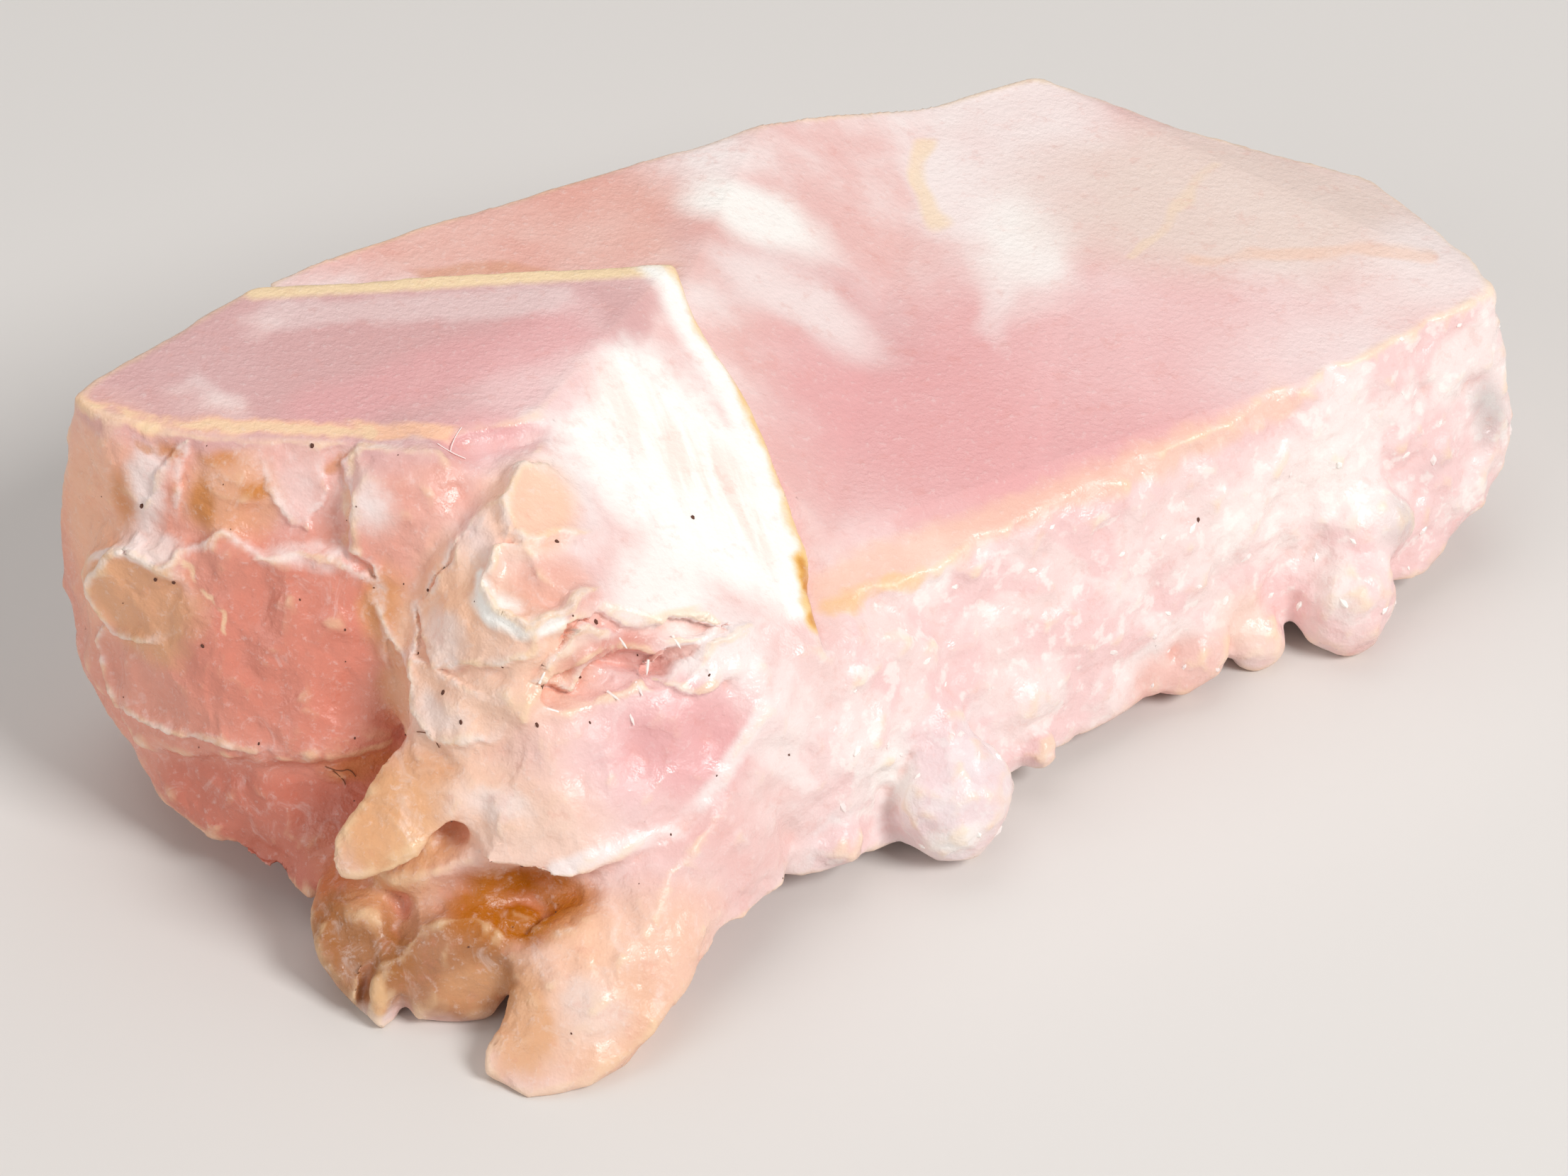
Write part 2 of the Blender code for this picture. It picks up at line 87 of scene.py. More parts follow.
# The back wall of the stained cavity above the feet: its middle and half its width.
CAVITY = (-9.8, -12.4, 2.9)
CAVITY_WALL = 1.15

# A face of the solid larger than this, in square millimetres, is a smooth cleaved one, and a
# cleaved face that looks up lies higher than this.
FLAT_AREA = 5.0
CLEAVED_FROM = 10.0

# Two faces lie in one plane if the cosine between them is over the first of these, and their
# distances from the datum differ by less than the second.
SAME_WAY = 0.9998
SAME_REACH = 0.02

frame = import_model()
CAD_LOW, CAD_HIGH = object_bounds()


def tint(red, green, blue):
    """Turn a colour as a screen shows it, 0 to 255, into the linear one that a shader takes."""
    shown = np.array((red, green, blue)) / 255.0
    dark = shown / 12.92
    bright = ((shown + 0.055) / 1.055) ** 2.4
    return tuple(float(value) for value in np.where(shown > 0.04045, bright, dark))


def colour(name, description, red, green, blue):
    """Describe one colour that a user may change."""
    return bpy.props.FloatVectorProperty(
        name=name, description=description, subtype="COLOR", size=3, min=0.0, max=1.0,
        default=tint(red, green, blue),
    )


def length(name, description, millimetres):
    """Describe one length that a user may change."""
    return bpy.props.FloatProperty(
        name=name, description=description, subtype="DISTANCE", unit="LENGTH", min=0.0,
        default=millimetres * MM,
    )


def power(name, description, watts):
    """Describe the power of one light that a user may change."""
    return bpy.props.FloatProperty(
        name=name, description=description, unit="POWER", min=0.0, default=watts,
    )


class QuartzShape(bpy.types.PropertyGroup):
    """How fine and how rough the skin is."""

    grain: length("Skin grain", "Size of the skin's small faces before they are thinned out", 0.12)
    lumps: length("Lumps", "Depth of the soft lumps on broken faces", 0.30)
    shells: length("Shells", "Depth of the shell shaped steps on the front", 0.26)
    flakes: length("Flakes", "Depth of the small flakes on the front", 0.15)
    dishes: length("Dishes", "Depth of the dished chips on the front", 0.34)
    sugar: length("Sugar", "Depth of the sugary grains on the right side", 0.22)
    crystal: length("Crystal", "Width of a small crystal on the right side", 0.42)
    faces: bpy.props.IntProperty(
        name="Triangles", description="Most triangles in the finished skin", min=20000,
        default=190000,
    )


class QuartzColours(bpy.types.PropertyGroup):
    """The colours in the quartz."""

    blush: colour("Blush", "Pale pink body of the stone", 238, 192, 186)
    rose: colour("Rose", "Deeper pink of the smooth floor", 234, 168, 168)
    mauve: colour("Mauve", "Cool pink of the raised block", 218, 168, 166)
    coral: colour("Coral", "Strong pink of the left front and the hollows", 219, 132, 112)
    salmon: colour("Salmon", "Warm pink of the left front", 232, 158, 136)
    # Apricot is partly its own pale orange and partly painted light: the glow through thin edges,
    # and lighter patches on flanks that lie in shade.
    apricot: colour("Apricot", "Glowing pale orange at thin edges", 255, 200, 164)
    terracotta: colour("Terracotta", "Red brown low on the left front", 206, 112, 90)
    peach: colour("Peach", "Pale orange of the flakes", 246, 200, 172)
    tan: colour("Tan", "Yellow brown of scales and feet", 228, 170, 124)
    umber: colour("Umber", "Brown low in the feet", 168, 106, 52)
    rust: colour("Rust", "Deep iron stain in the cavity", 184, 104, 0)
    ochre: colour("Ochre", "Iron stain in cracks", 206, 126, 36)
    amber: colour("Amber", "Light shining through iron stained edges", 246, 196, 110)
    # Cream is worn edges; where it is laid on every proud edge it is also a painted highlight.
    cream: colour("Cream", "Pale worn edges", 250, 220, 178)
    milk: colour("Milk", "Cloudy white quartz", 250, 236, 232)
    # White is milky quartz; on the bright face it also stands in for painted glare.
    white: colour("White", "Dry white of the bright face", 255, 252, 246)
    petal: colour("Petal", "Soft pink blotches in the white", 244, 202, 200)
    fog: colour("Fog", "Greyish beige quartz at the far right", 236, 214, 203)
    clear: colour("Clear", "Clear quartz of the knobs", 236, 220, 222)
    smoke: colour("Smoke", "Dark spots in the clear quartz", 160, 150, 148)


class DustSettings(bpy.types.PropertyGroup):
    """The dust and lint that lie on the stone."""

    speck: length("Speck", "Width of a dust speck", 0.14)
    fibre: length("Fibre", "Thickness of a lint fibre", 0.04)
    dark: colour("Dust", "Dark dust specks", 96, 58, 44)
    lint: colour("Brown lint", "Brown lint fibres", 128, 82, 54)
    white_lint: colour("White lint", "White lint fibres", 255, 240, 236)


class StageSettings(bpy.types.PropertyGroup):
    """Floor, lights and camera."""

    floor: colour("Floor", "Pale floor", 226, 222, 218)
    key: power("Key light", "Power of the light on the right", 1.36)
    fill: power("Fill light", "Power of the soft lights on the left and above", 0.46)
    elevation: bpy.props.FloatProperty(
        name="Camera height", description="Angle of the camera above the horizon",
        subtype="ANGLE", unit="ROTATION", default=radians(40.0),
    )
    distance: length("Camera distance", "From the camera to the stone's middle", 200.0)


def millimetres(point):
    """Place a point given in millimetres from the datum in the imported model, in metres."""
    return (Vector(point) + Vector(DATUM)) * MM


def deselect():
    """Leave nothing selected."""
    bpy.ops.object.select_all(action="DESELECT")


def pick(obj):
    """Select one object alone and make it active."""
    deselect()
    obj.select_set(True)
    bpy.context.view_layer.objects.active = obj


def apply_modifier(obj, name, kind, **settings):
    """Add a modifier with its settings and apply it."""
    modifier = obj.modifiers.new(name, kind)
    for key, value in settings.items():
        setattr(modifier, key, value)
    pick(obj)
    bpy.ops.object.modifier_apply(modifier=modifier.name)


def finish(obj, material):
    """Give a piece its material and place it in the frame."""
    obj.data.materials.clear()
    obj.data.materials.append(material)
    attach(obj, BODY)


# Skin of the stone.


def spots(mesh):
    """Return the places of a mesh's vertices, in millimetres from the datum."""
    flat = np.empty(len(mesh.vertices) * 3)
    mesh.vertices.foreach_get("co", flat)
    return flat.reshape(-1, 3) / MM - np.array(DATUM)


def directions(mesh):
    """Return the directions that a mesh's vertices face."""
    flat = np.empty(len(mesh.vertices) * 3)
    mesh.vertices.foreach_get("normal", flat)
    return flat.reshape(-1, 3)


def rise(value, low, high):
    """Rise smoothly from 0 at low to 1 at high."""
    share = np.clip((value - low) / (high - low), 0.0, 1.0)
    return share * share * (3.0 - 2.0 * share)


def fall(value, low, high):
    """Fall smoothly from 1 at low to 0 at high."""
    return 1.0 - rise(value, low, high)


def large_planes(mesh):
    """Find the planes of the solid's large flat faces, each as a direction and a distance."""
    planes = []
    for face in mesh.polygons:
        if face.area > FLAT_AREA * MM * MM:
            normal = np.array(face.normal)
            reach = float(normal @ (np.array(face.center) / MM - np.array(DATUM)))
            if not any(normal @ other > SAME_WAY and abs(reach - far) < SAME_REACH
                       for other, far in planes):
                planes.append((normal, reach))
    return planes


def cleaved_share(mesh, planes):
    """Say for every vertex how surely it lies on a smooth cleaved face or on the foot."""
    where = spots(mesh)
    facing = directions(mesh)
    share = np.zeros(len(where))
    for normal, reach in planes:
        top = normal[2] > 0.75
        foot = normal[2] < -0.999 and abs(reach) < 0.05
        if top or foot:
            near = fall(np.abs(where @ normal - reach), 0.02, 0.07)
            along = rise(facing @ normal, 0.965, 0.99)
            high = rise(where[:, 2], CLEAVED_FROM - 0.5, CLEAVED_FROM) if top else 1.0
            share = np.maximum(share, near * along * high)
    return share


def zones(where, cleaved):
    """Weigh the kinds of break over the skin."""
    x, y, z = where.T
    broken = 1.0 - cleaved
    side_edge = -4.2 + (x - 1.0) * 0.70
    side = rise(x, -1.0, 3.0) * fall(y - side_edge, 2.5, 6.0) * rise(z, 0.5, 2.0)
    front = fall(x, -1.0, 3.0) * fall(y, -1.5, 2.5) * rise(z, 0.5, 2.0)
    rest = np.clip(1.0 - side - front, 0.0, 1.0)
    return {
        "all": broken,
        "side": side * broken,
        "front": front * broken,
        "rest": rest * broken,
    }


def weigh(obj, name, weights, levels=16):
    """Make a vertex group from one weight per vertex, rounded to so many levels."""
    group = obj.vertex_groups.new(name=name)
    steps = np.round(np.clip(weights, 0.0, 1.0) * levels).astype(int)
    for step in np.unique(steps[steps > 0]):
        group.add(np.flatnonzero(steps == step).tolist(), step / levels, "REPLACE")


# A step in a stepped texture: its foot and head as shares of its tread, and half its run.
STEP_LOW = 0.15
STEP_HIGH = 0.95
STEP_RUN = 0.012


def clouds(name, grain, octaves, basis, steps):
    """Make a cloudy texture of one grain size, in steps if their heights are given."""
    texture = bpy.data.textures.new(name, "CLOUDS")
    texture.noise_scale = grain * MM
    texture.noise_depth = octaves
    texture.noise_basis = basis
    if steps:
        texture.use_color_ramp = True
        stops = texture.color_ramp.elements
        for stop, level in zip(stops, (0.0, 1.0)):
            stop.position = level
            stop.color = (level, level, level, 1.0)
        count = len(steps) + 1.0
        for index, place in enumerate(steps):
            low, high = (index + STEP_LOW) / count, (index + STEP_HIGH) / count
            for spot, level in ((place - STEP_RUN, low), (place + STEP_RUN, high)):
                stops.new(spot).color = (level, level, level, 1.0)
    return texture


# Relief of the broken faces: name, setting that gives its depth and share of it, vertex group,
# grain in millimetres, octaves, kind of noise and the heights of its steps.
PERLIN = "ORIGINAL_PERLIN"
CELLS = "VORONOI_F1"
SHELL_STEPS = (0.30, 0.42, 0.50, 0.58, 0.70)
FLAKE_STEPS = (0.35, 0.5, 0.65)
RELIEF = (
    ("lumps", "lumps", 1.0, "all", 3.2, 2, PERLIN, ()),
    ("shells", "shells", 2.0, "front", 3.6, 1, PERLIN, SHELL_STEPS),
    ("back_shells", "shells", 1.0, "rest", 3.6, 1, PERLIN, SHELL_STEPS),
    ("flakes", "flakes", 1.0, "front", 1.3, 2, PERLIN, FLAKE_STEPS),
    ("dishes", "dishes", 1.0, "front", 2.3, 1, CELLS, ()),
    ("sugar", "sugar", 1.0, "side", 1.1, 1, CELLS, ()),
    ("fine_sugar", "sugar", 0.4, "side", 0.45, 0, PERLIN, ()),
)

# Flakes on the broken front: height at the rim and in the middle, the way that the flake runs out
# into the stone, if it does, and its outline. A negative height is a chip.
FLAKES = (
    # Left front.
    (0.16, 0.10, (0.0, -0.6, -0.8), ((-22.0, -2.1, 17.9), (-22.9, -2.1, 17.1), (-23.6, -2.4, 15.5),
     (-24.1, -2.6, 13.8), (-22.5, -3.1, 14.2), (-22.4, -2.8, 15.8))),
    (0.14, 0.10, (0.0, 0.4, 0.9), ((-19.4, -2.1, 18.0), (-17.0, -2.6, 17.5), (-16.8, -3.2, 16.4),
     (-17.6, -3.7, 15.0), (-18.2, -3.6, 15.1), (-19.2, -3.0, 16.5))),
    (0.26, 0.12, (0.6, -0.5, -0.6), ((-22.6, -3.6, 13.8), (-20.7, -3.7, 14.9), (-19.2, -4.3, 14.3),
     (-18.2, -4.3, 14.4), (-16.3, -4.1, 14.5), (-14.8, -5.2, 13.6), (-14.5, -6.5, 10.5),
     (-14.2, -8.2, 8.0), (-18.6, -7.4, 7.1), (-22.3, -5.9, 6.6), (-25.4, -3.3, 5.9),
     (-26.3, -2.3, 8.4))),
    (0.30, 0.10, (0.8, -0.4, -0.3), ((-24.2, -2.6, 13.7), (-25.1, -2.8, 13.2), (-26.0, -2.3, 11.8),
     (-26.2, -2.1, 10.5), (-25.3, -2.9, 9.0), (-23.2, -4.5, 10.2), (-21.4, -5.0, 11.6),
     (-22.3, -4.1, 13.0))),
    (0.24, 0.12, (0.7, 0.2, 0.5), ((-15.5, -2.3, 18.0), (-16.3, -2.7, 17.4), (-15.9, -3.9, 16.2),
     (-16.1, -4.4, 14.5), (-15.2, -5.0, 14.2), (-14.7, -6.0, 11.7), (-13.6, -7.9, 11.1),
     (-13.4, -5.9, 13.1), (-11.3, -5.4, 16.9), (-10.4, -3.3, 17.4), (-13.3, -2.0, 18.0))),
    # Nose, from the lowest flake up.
    (0.22, 0.08, (0.7, 0.1, 0.3), ((-13.6, -7.1, 11.7), (-13.7, -8.4, 10.4), (-12.8, -9.7, 9.7),
     (-10.8, -10.6, 10.4), (-9.6, -10.3, 12.0), (-12.7, -8.2, 12.0))),
    (0.28, 0.16, (0.6, 0.5, 0.6), ((-12.2, -5.9, 15.2), (-13.4, -5.9, 13.1), (-13.3, -6.8, 12.4),
     (-12.8, -8.1, 12.0), (-11.8, -8.6, 12.4), (-9.4, -9.5, 13.4), (-8.6, -9.1, 13.8),
     (-8.5, -8.6, 14.8), (-10.7, -6.6, 16.4), (-11.3, -5.4, 16.9))),
    (0.34, 0.20, (0.8, 0.5, 0.0), ((-10.0, -3.1, 17.5), (-10.5, -5.0, 17.2), (-10.2, -6.3, 16.7),
     (-9.4, -6.6, 16.6), (-8.2, -5.8, 16.2), (-5.8, -4.3, 15.3), (-8.7, -2.9, 17.2))),
    (0.50, -0.08, (0.5, 0.8, 0.6), ((-10.6, -6.5, 16.4), (-11.1, -7.4, 15.3), (-10.7, -8.3, 14.7),
     (-9.3, -9.1, 14.6), (-8.0, -8.8, 14.9), (-6.5, -6.9, 15.0), (-8.2, -5.9, 16.1))),
    # Splintered hollow on the nose.
    (-0.30, -0.30, None, ((-8.6, -9.2, 13.5), (-6.9, -7.8, 14.4), (-5.7, -7.8, 13.7),
     (-1.0, -6.6, 12.6), (-2.9, -7.9, 11.9), (-5.1, -8.8, 12.0), (-6.9, -9.7, 11.8),
     (-8.8, -10.0, 12.6))),
    (-0.75, -0.95, (-0.6, -0.6, -0.5), ((-4.9, -7.8, 13.2), (-4.2, -7.2, 13.6), (-1.9, -6.8, 12.9),
     (-3.5, -7.5, 12.8))),
    (-0.60, -0.80, (-0.5, -0.7, -0.5), ((-8.4, -8.9, 13.8), (-8.0, -8.4, 14.3), (-6.9, -7.8, 14.4),
     (-7.9, -8.7, 13.8))),
    (-0.85, -1.00, (-0.2, -0.8, -0.6), ((-6.9, -8.9, 12.9), (-5.9, -8.4, 13.0), (-3.7, -8.0, 12.3),
     (-5.1, -8.8, 12.0))),
    (0.22, -0.10, (0.8, 0.2, -0.4), ((-9.1, -9.9, 12.8), (-8.3, -9.0, 13.6), (-7.4, -8.1, 14.3),
     (-6.3, -8.0, 13.7), (-5.5, -8.1, 13.1), (-6.9, -8.9, 12.9), (-7.5, -9.7, 12.1))),
    (0.30, 0.20, (0.8, 0.2, -0.6), ((-3.6, -8.0, 12.2), (-1.9, -6.9, 12.8), (-1.0, -6.5, 12.7),
     (-0.4, -6.9, 11.8), (-2.0, -8.0, 11.2), (-3.5, -8.8, 11.1), (-4.6, -8.7, 11.9))),
)
FLAKE_EDGE = 0.05
FLAKE_RIM = 0.40
FLAKE_REACH = 2.2
FINE_LEVELS = 240


def inside_by(flat, ends):
    """Measure how far inside an outline the places on its plane lie, less than 0 outside it."""
    nearest = np.full(len(flat), np.inf)
    inside = np.zeros(len(flat), dtype=bool)
    for start, end in zip(ends, np.roll(ends, -1, axis=0)):
        run = end - start
        share = np.clip((flat - start) @ run / (run @ run), 0.0, 1.0)
        gap = flat - start - np.outer(share, run)
        nearest = np.minimum(nearest, np.hypot(*gap.T))
        beside = (start[1] > flat[:, 1]) != (end[1] > flat[:, 1])
        if run[1]:
            inside ^= beside & (flat[:, 0] < start[0] + (flat[:, 1] - start[1]) * run[0] / run[1])
    return np.where(inside, nearest, -nearest)


def lay_flakes(where, facing):
    """Work out where the flakes move the skin to, and how near each vertex lies to a rim."""
    shift = np.zeros((len(where), 3))
    rim = np.zeros(len(where))
    for edge, middle, way_out, outline in FLAKES:
        corners = np.array(outline)
        centre = corners.mean(axis=0)
        first, second, normal = np.linalg.svd(corners - centre)[2]
        normal = normal if normal[2] - normal[1] > 0.0 else -normal
        offset = where - centre
        size = np.abs(corners - centre).max() + 0.5
        near = (np.abs(offset).max(axis=1) < size) & (facing @ normal > 0.1)
        near = np.flatnonzero(near & (np.abs(offset @ normal) < FLAKE_REACH))
        offset = offset[near]
        plane = np.array((first, second)).T
        waves = 0.08 * np.sin(offset @ (3.1, 2.7, 2.3)) + 0.03 * np.sin(offset @ (-7.7, 5.3, 6.9))
        inner = inside_by(offset @ plane, (corners - centre) @ plane) + waves
        share = rise(inner, -FLAKE_EDGE, FLAKE_EDGE)
        if way_out:
            way = np.array(way_out) / np.linalg.norm(way_out)
            ends = (corners - centre) @ way
            share *= fall(offset @ way, 0.1 * ends.max(), 0.9 * ends.max())
        height = edge + (middle - edge) * rise(inner, FLAKE_EDGE, 2.0 * FLAKE_RIM)
        shift[near] += (np.outer(height, normal) - shift[near]) * share[:, None]
        if edge > 0.0:
            bright = share * fall(inner, 0.3 * FLAKE_RIM, FLAKE_RIM)
            rim[near] = np.maximum(rim[near] * (1.0 - share), bright)
        else:
            rim[near] *= 1.0 - share
    return shift, rim


# The crest from end to end in the solid, and how far it bows along the bright face's plane.
CREST_ENDS = ((-4.3, 9.0, 18.0), (1.0, -4.2, 11.7))
CREST_BOW = (0.94, 0.0, -0.50)


def bow_crest(where):
    """Work out how the crest bows out over the valley."""
    start, end = np.array(CREST_ENDS)
    run = end - start
    along = np.clip((where - start) @ run / (run @ run), 0.0, 1.0)
    gap = np.linalg.norm(where - start - np.outer(along, run), axis=1)
    share = rise(along, 0.15, 0.42) * fall(along, 0.80, 1.0) * fall(gap, 0.3, 2.2)
    return np.outer(share, CREST_BOW)


def store(mesh, name, values):
    """Store one value for each vertex under a name that the material reads."""
    attribute = mesh.attributes.new(name, "FLOAT", "POINT")
    attribute.data.foreach_set("value", values.astype(np.float32))


def spread(mesh, values, rounds):
    """Even out values over the skin, each round with the mean of a vertex's neighbours."""
    ends = np.empty(len(mesh.edges) * 2, dtype=np.int64)
    mesh.edges.foreach_get("vertices", ends)
    first, second = ends.reshape(-1, 2).T
    count = np.bincount(ends, minlength=len(values)).astype(float)
    columns = []
    for column in np.atleast_2d(values.T):
        for _ in range(rounds):
            total = np.bincount(first, column[second], len(column))
            total += np.bincount(second, column[first], len(column))
            column = 0.3 * column + 0.7 * total / count
        columns.append(column)
    return np.array(columns).T


def mark_edges(mesh, rounds):
    """Store how far each vertex stands proud of the skin around it, in millimetres."""
    where = spots(mesh)
    facing = directions(mesh)
    store(mesh, "proud", ((where - spread(mesh, where, rounds)) * facing).sum(axis=1))


def keep_in_box(mesh):
    """Hold the skin inside the solid's own box."""
    flat = np.empty(len(mesh.vertices) * 3)
    mesh.vertices.foreach_get("co", flat)
    inside = np.clip(flat.reshape(-1, 3), np.array(CAD_LOW), np.array(CAD_HIGH))
    mesh.vertices.foreach_set("co", inside.ravel())
    mesh.update()


# Materials.

# Ways that two large faces look, and the way that the crest runs.
BRIGHT_FACE = (0.457, -0.235, 0.858)
SLOPE = (0.39, -0.11, 0.91)
CREST_RUN = (0.34, -0.84, -0.41)


# How strongly quartz bends light.
QUARTZ_IOR = 1.544


class Recipe:
    """Adds the nodes of one material and links them."""

    def __init__(self, name):
        self.material = bpy.data.materials.new(name)
        self.material.use_nodes = True
        self.tree = self.material.node_tree
        self.shader = self.tree.nodes["Principled BSDF"]
        coords = self.tree.nodes.new("ShaderNodeTexCoord").outputs["Object"]
        start = tuple(-value for value in DATUM)
        self.here = self.add("Mapping", {"Vector": coords, "Location": start,
                                         "Scale": (1.0 / MM,) * 3}).outputs[0]

    def add(self, kind, sockets=None, **settings):
        """Add a node, with its settings, and feed its sockets with values or links."""
        node = self.tree.nodes.new("ShaderNode" + kind)
        for key, value in settings.items():
            setattr(node, key, value)
        for key, value in (sockets or {}).items():
            self.feed(node.inputs[key], value)
        return node

    def feed(self, socket, value):
        """Link a socket to another one, or set its value."""
        if isinstance(value, bpy.types.NodeSocket):
            self.tree.links.new(value, socket)
        else:
            socket.default_value = (*value, 1.0) if socket.type == "RGBA" else value

    def sum(self, first, second, how="ADD"):
        """Combine two numbers."""
        return self.add("Math", {0: first, 1: second}, operation=how).outputs[0]

    def step(self, value, low, high, at_low=0.0, at_high=1.0):
        """Map a number smoothly from one range to another."""
        sockets = {"Value": value, "From Min": low, "From Max": high, "To Min": at_low,
                   "To Max": at_high}
        return self.add("MapRange", sockets, interpolation_type="SMOOTHSTEP").outputs[0]

    def noise(self, grain, detail=3.0, roughness=0.55, place=None, warp=0.0, give=0):
        """Make a cloudy noise whose lumps are about grain millimetres wide."""
        sockets = {"Vector": place or self.here, "Scale": 1.0 / grain, "Detail": detail,
                   "Roughness": roughness, "Distortion": warp}
        return self.add("TexNoise", sockets).outputs[give]

    def streaks(self, along, length, width):
        """Make a noise stretched along a direction."""
        turn = Vector(along).to_track_quat("X", "Z").to_euler()
        sockets = {"Vector": self.here, "Rotation": turn, "Scale": (length, width, width)}
        local = self.add("Mapping", sockets, vector_type="TEXTURE").outputs[0]
        return self.noise(1.0, 4.0, place=local)

    def stored(self, name):
        """Read a value that was stored for each vertex."""
        return self.add("Attribute", attribute_name=name).outputs["Fac"]

    def ragged(self, place, grain, reach):
        """Shift a place by a noise, so that what is drawn there has a ragged outline."""
        shift = self.noise(grain, 2.0, place=place, give="Color")
        middle = self.vector("SUBTRACT", shift, (0.5, 0.5, 0.5))
        return self.vector("ADD", place, self.vector("MULTIPLY", middle, (reach,) * 3))

    def vector(self, how, *values):
        """Combine vectors. Cycles runs short of room where many Mapping nodes do this."""
        return self.add("VectorMath", dict(enumerate(values)), operation=how).outputs[0]

    def size(self, vector):
        """Measure how long a vector is."""
        return self.add("VectorMath", {0: vector}, operation="LENGTH").outputs["Value"]

    def patch(self, place, middle, radii, soft, strength=1.0, facing=None):
        """Mask an ellipsoid: full strength inside, fading out over the outer soft share of it."""
        if facing:
            turn = Vector(facing).to_track_quat("Z", "Y").to_euler()
            sockets = {"Vector": place, "Location": middle, "Rotation": turn, "Scale": radii}
            local = self.add("Mapping", sockets, vector_type="TEXTURE").outputs[0]
        else:
            share = [1.0 / radius for radius in radii]
            shift = [-spot / radius for spot, radius in zip(middle, radii)]
            local = self.vector("MULTIPLY_ADD", place, share, shift)
        return self.step(self.size(local), 1.0 - soft, 1.0 + soft, strength, 0.0)

    def distance(self, place, points):
        """Measure how far a place is from a line of points."""
        nearest = None
        for start, end in zip(points, points[1:]):
            run = Vector(end) - Vector(start)
            slope = run / run.length_squared
            along = self.add("VectorMath", {0: place, 1: slope}, operation="DOT_PRODUCT")
            sockets = {0: along.outputs["Value"], 1: slope.dot(Vector(start))}
            along = self.add("Math", sockets, operation="SUBTRACT", use_clamp=True).outputs[0]
            spot = self.vector("MULTIPLY_ADD", run, along, start)
            far = self.add("VectorMath", {0: place, 1: spot}, operation="DISTANCE")
            far = far.outputs["Value"]
            nearest = self.sum(nearest, far, "MINIMUM") if nearest else far
        return nearest

    def stain(self, under, over, mask, strength, where=None):
        """Lay a colour over another where the mask says so, and a second mask if there is one."""
        if where:
            mask = self.sum(mask, where, "MULTIPLY")
        return self.blend(under, over, self.sum(mask, strength, "MULTIPLY"))

    def blend(self, under, over, share):
        """Mix two colours, which are sockets 6 and 7 and output 2 of the node."""
        sockets = {"Factor": share, 6: under, 7: over}
        return self.add("Mix", sockets, data_type="RGBA").outputs[2]


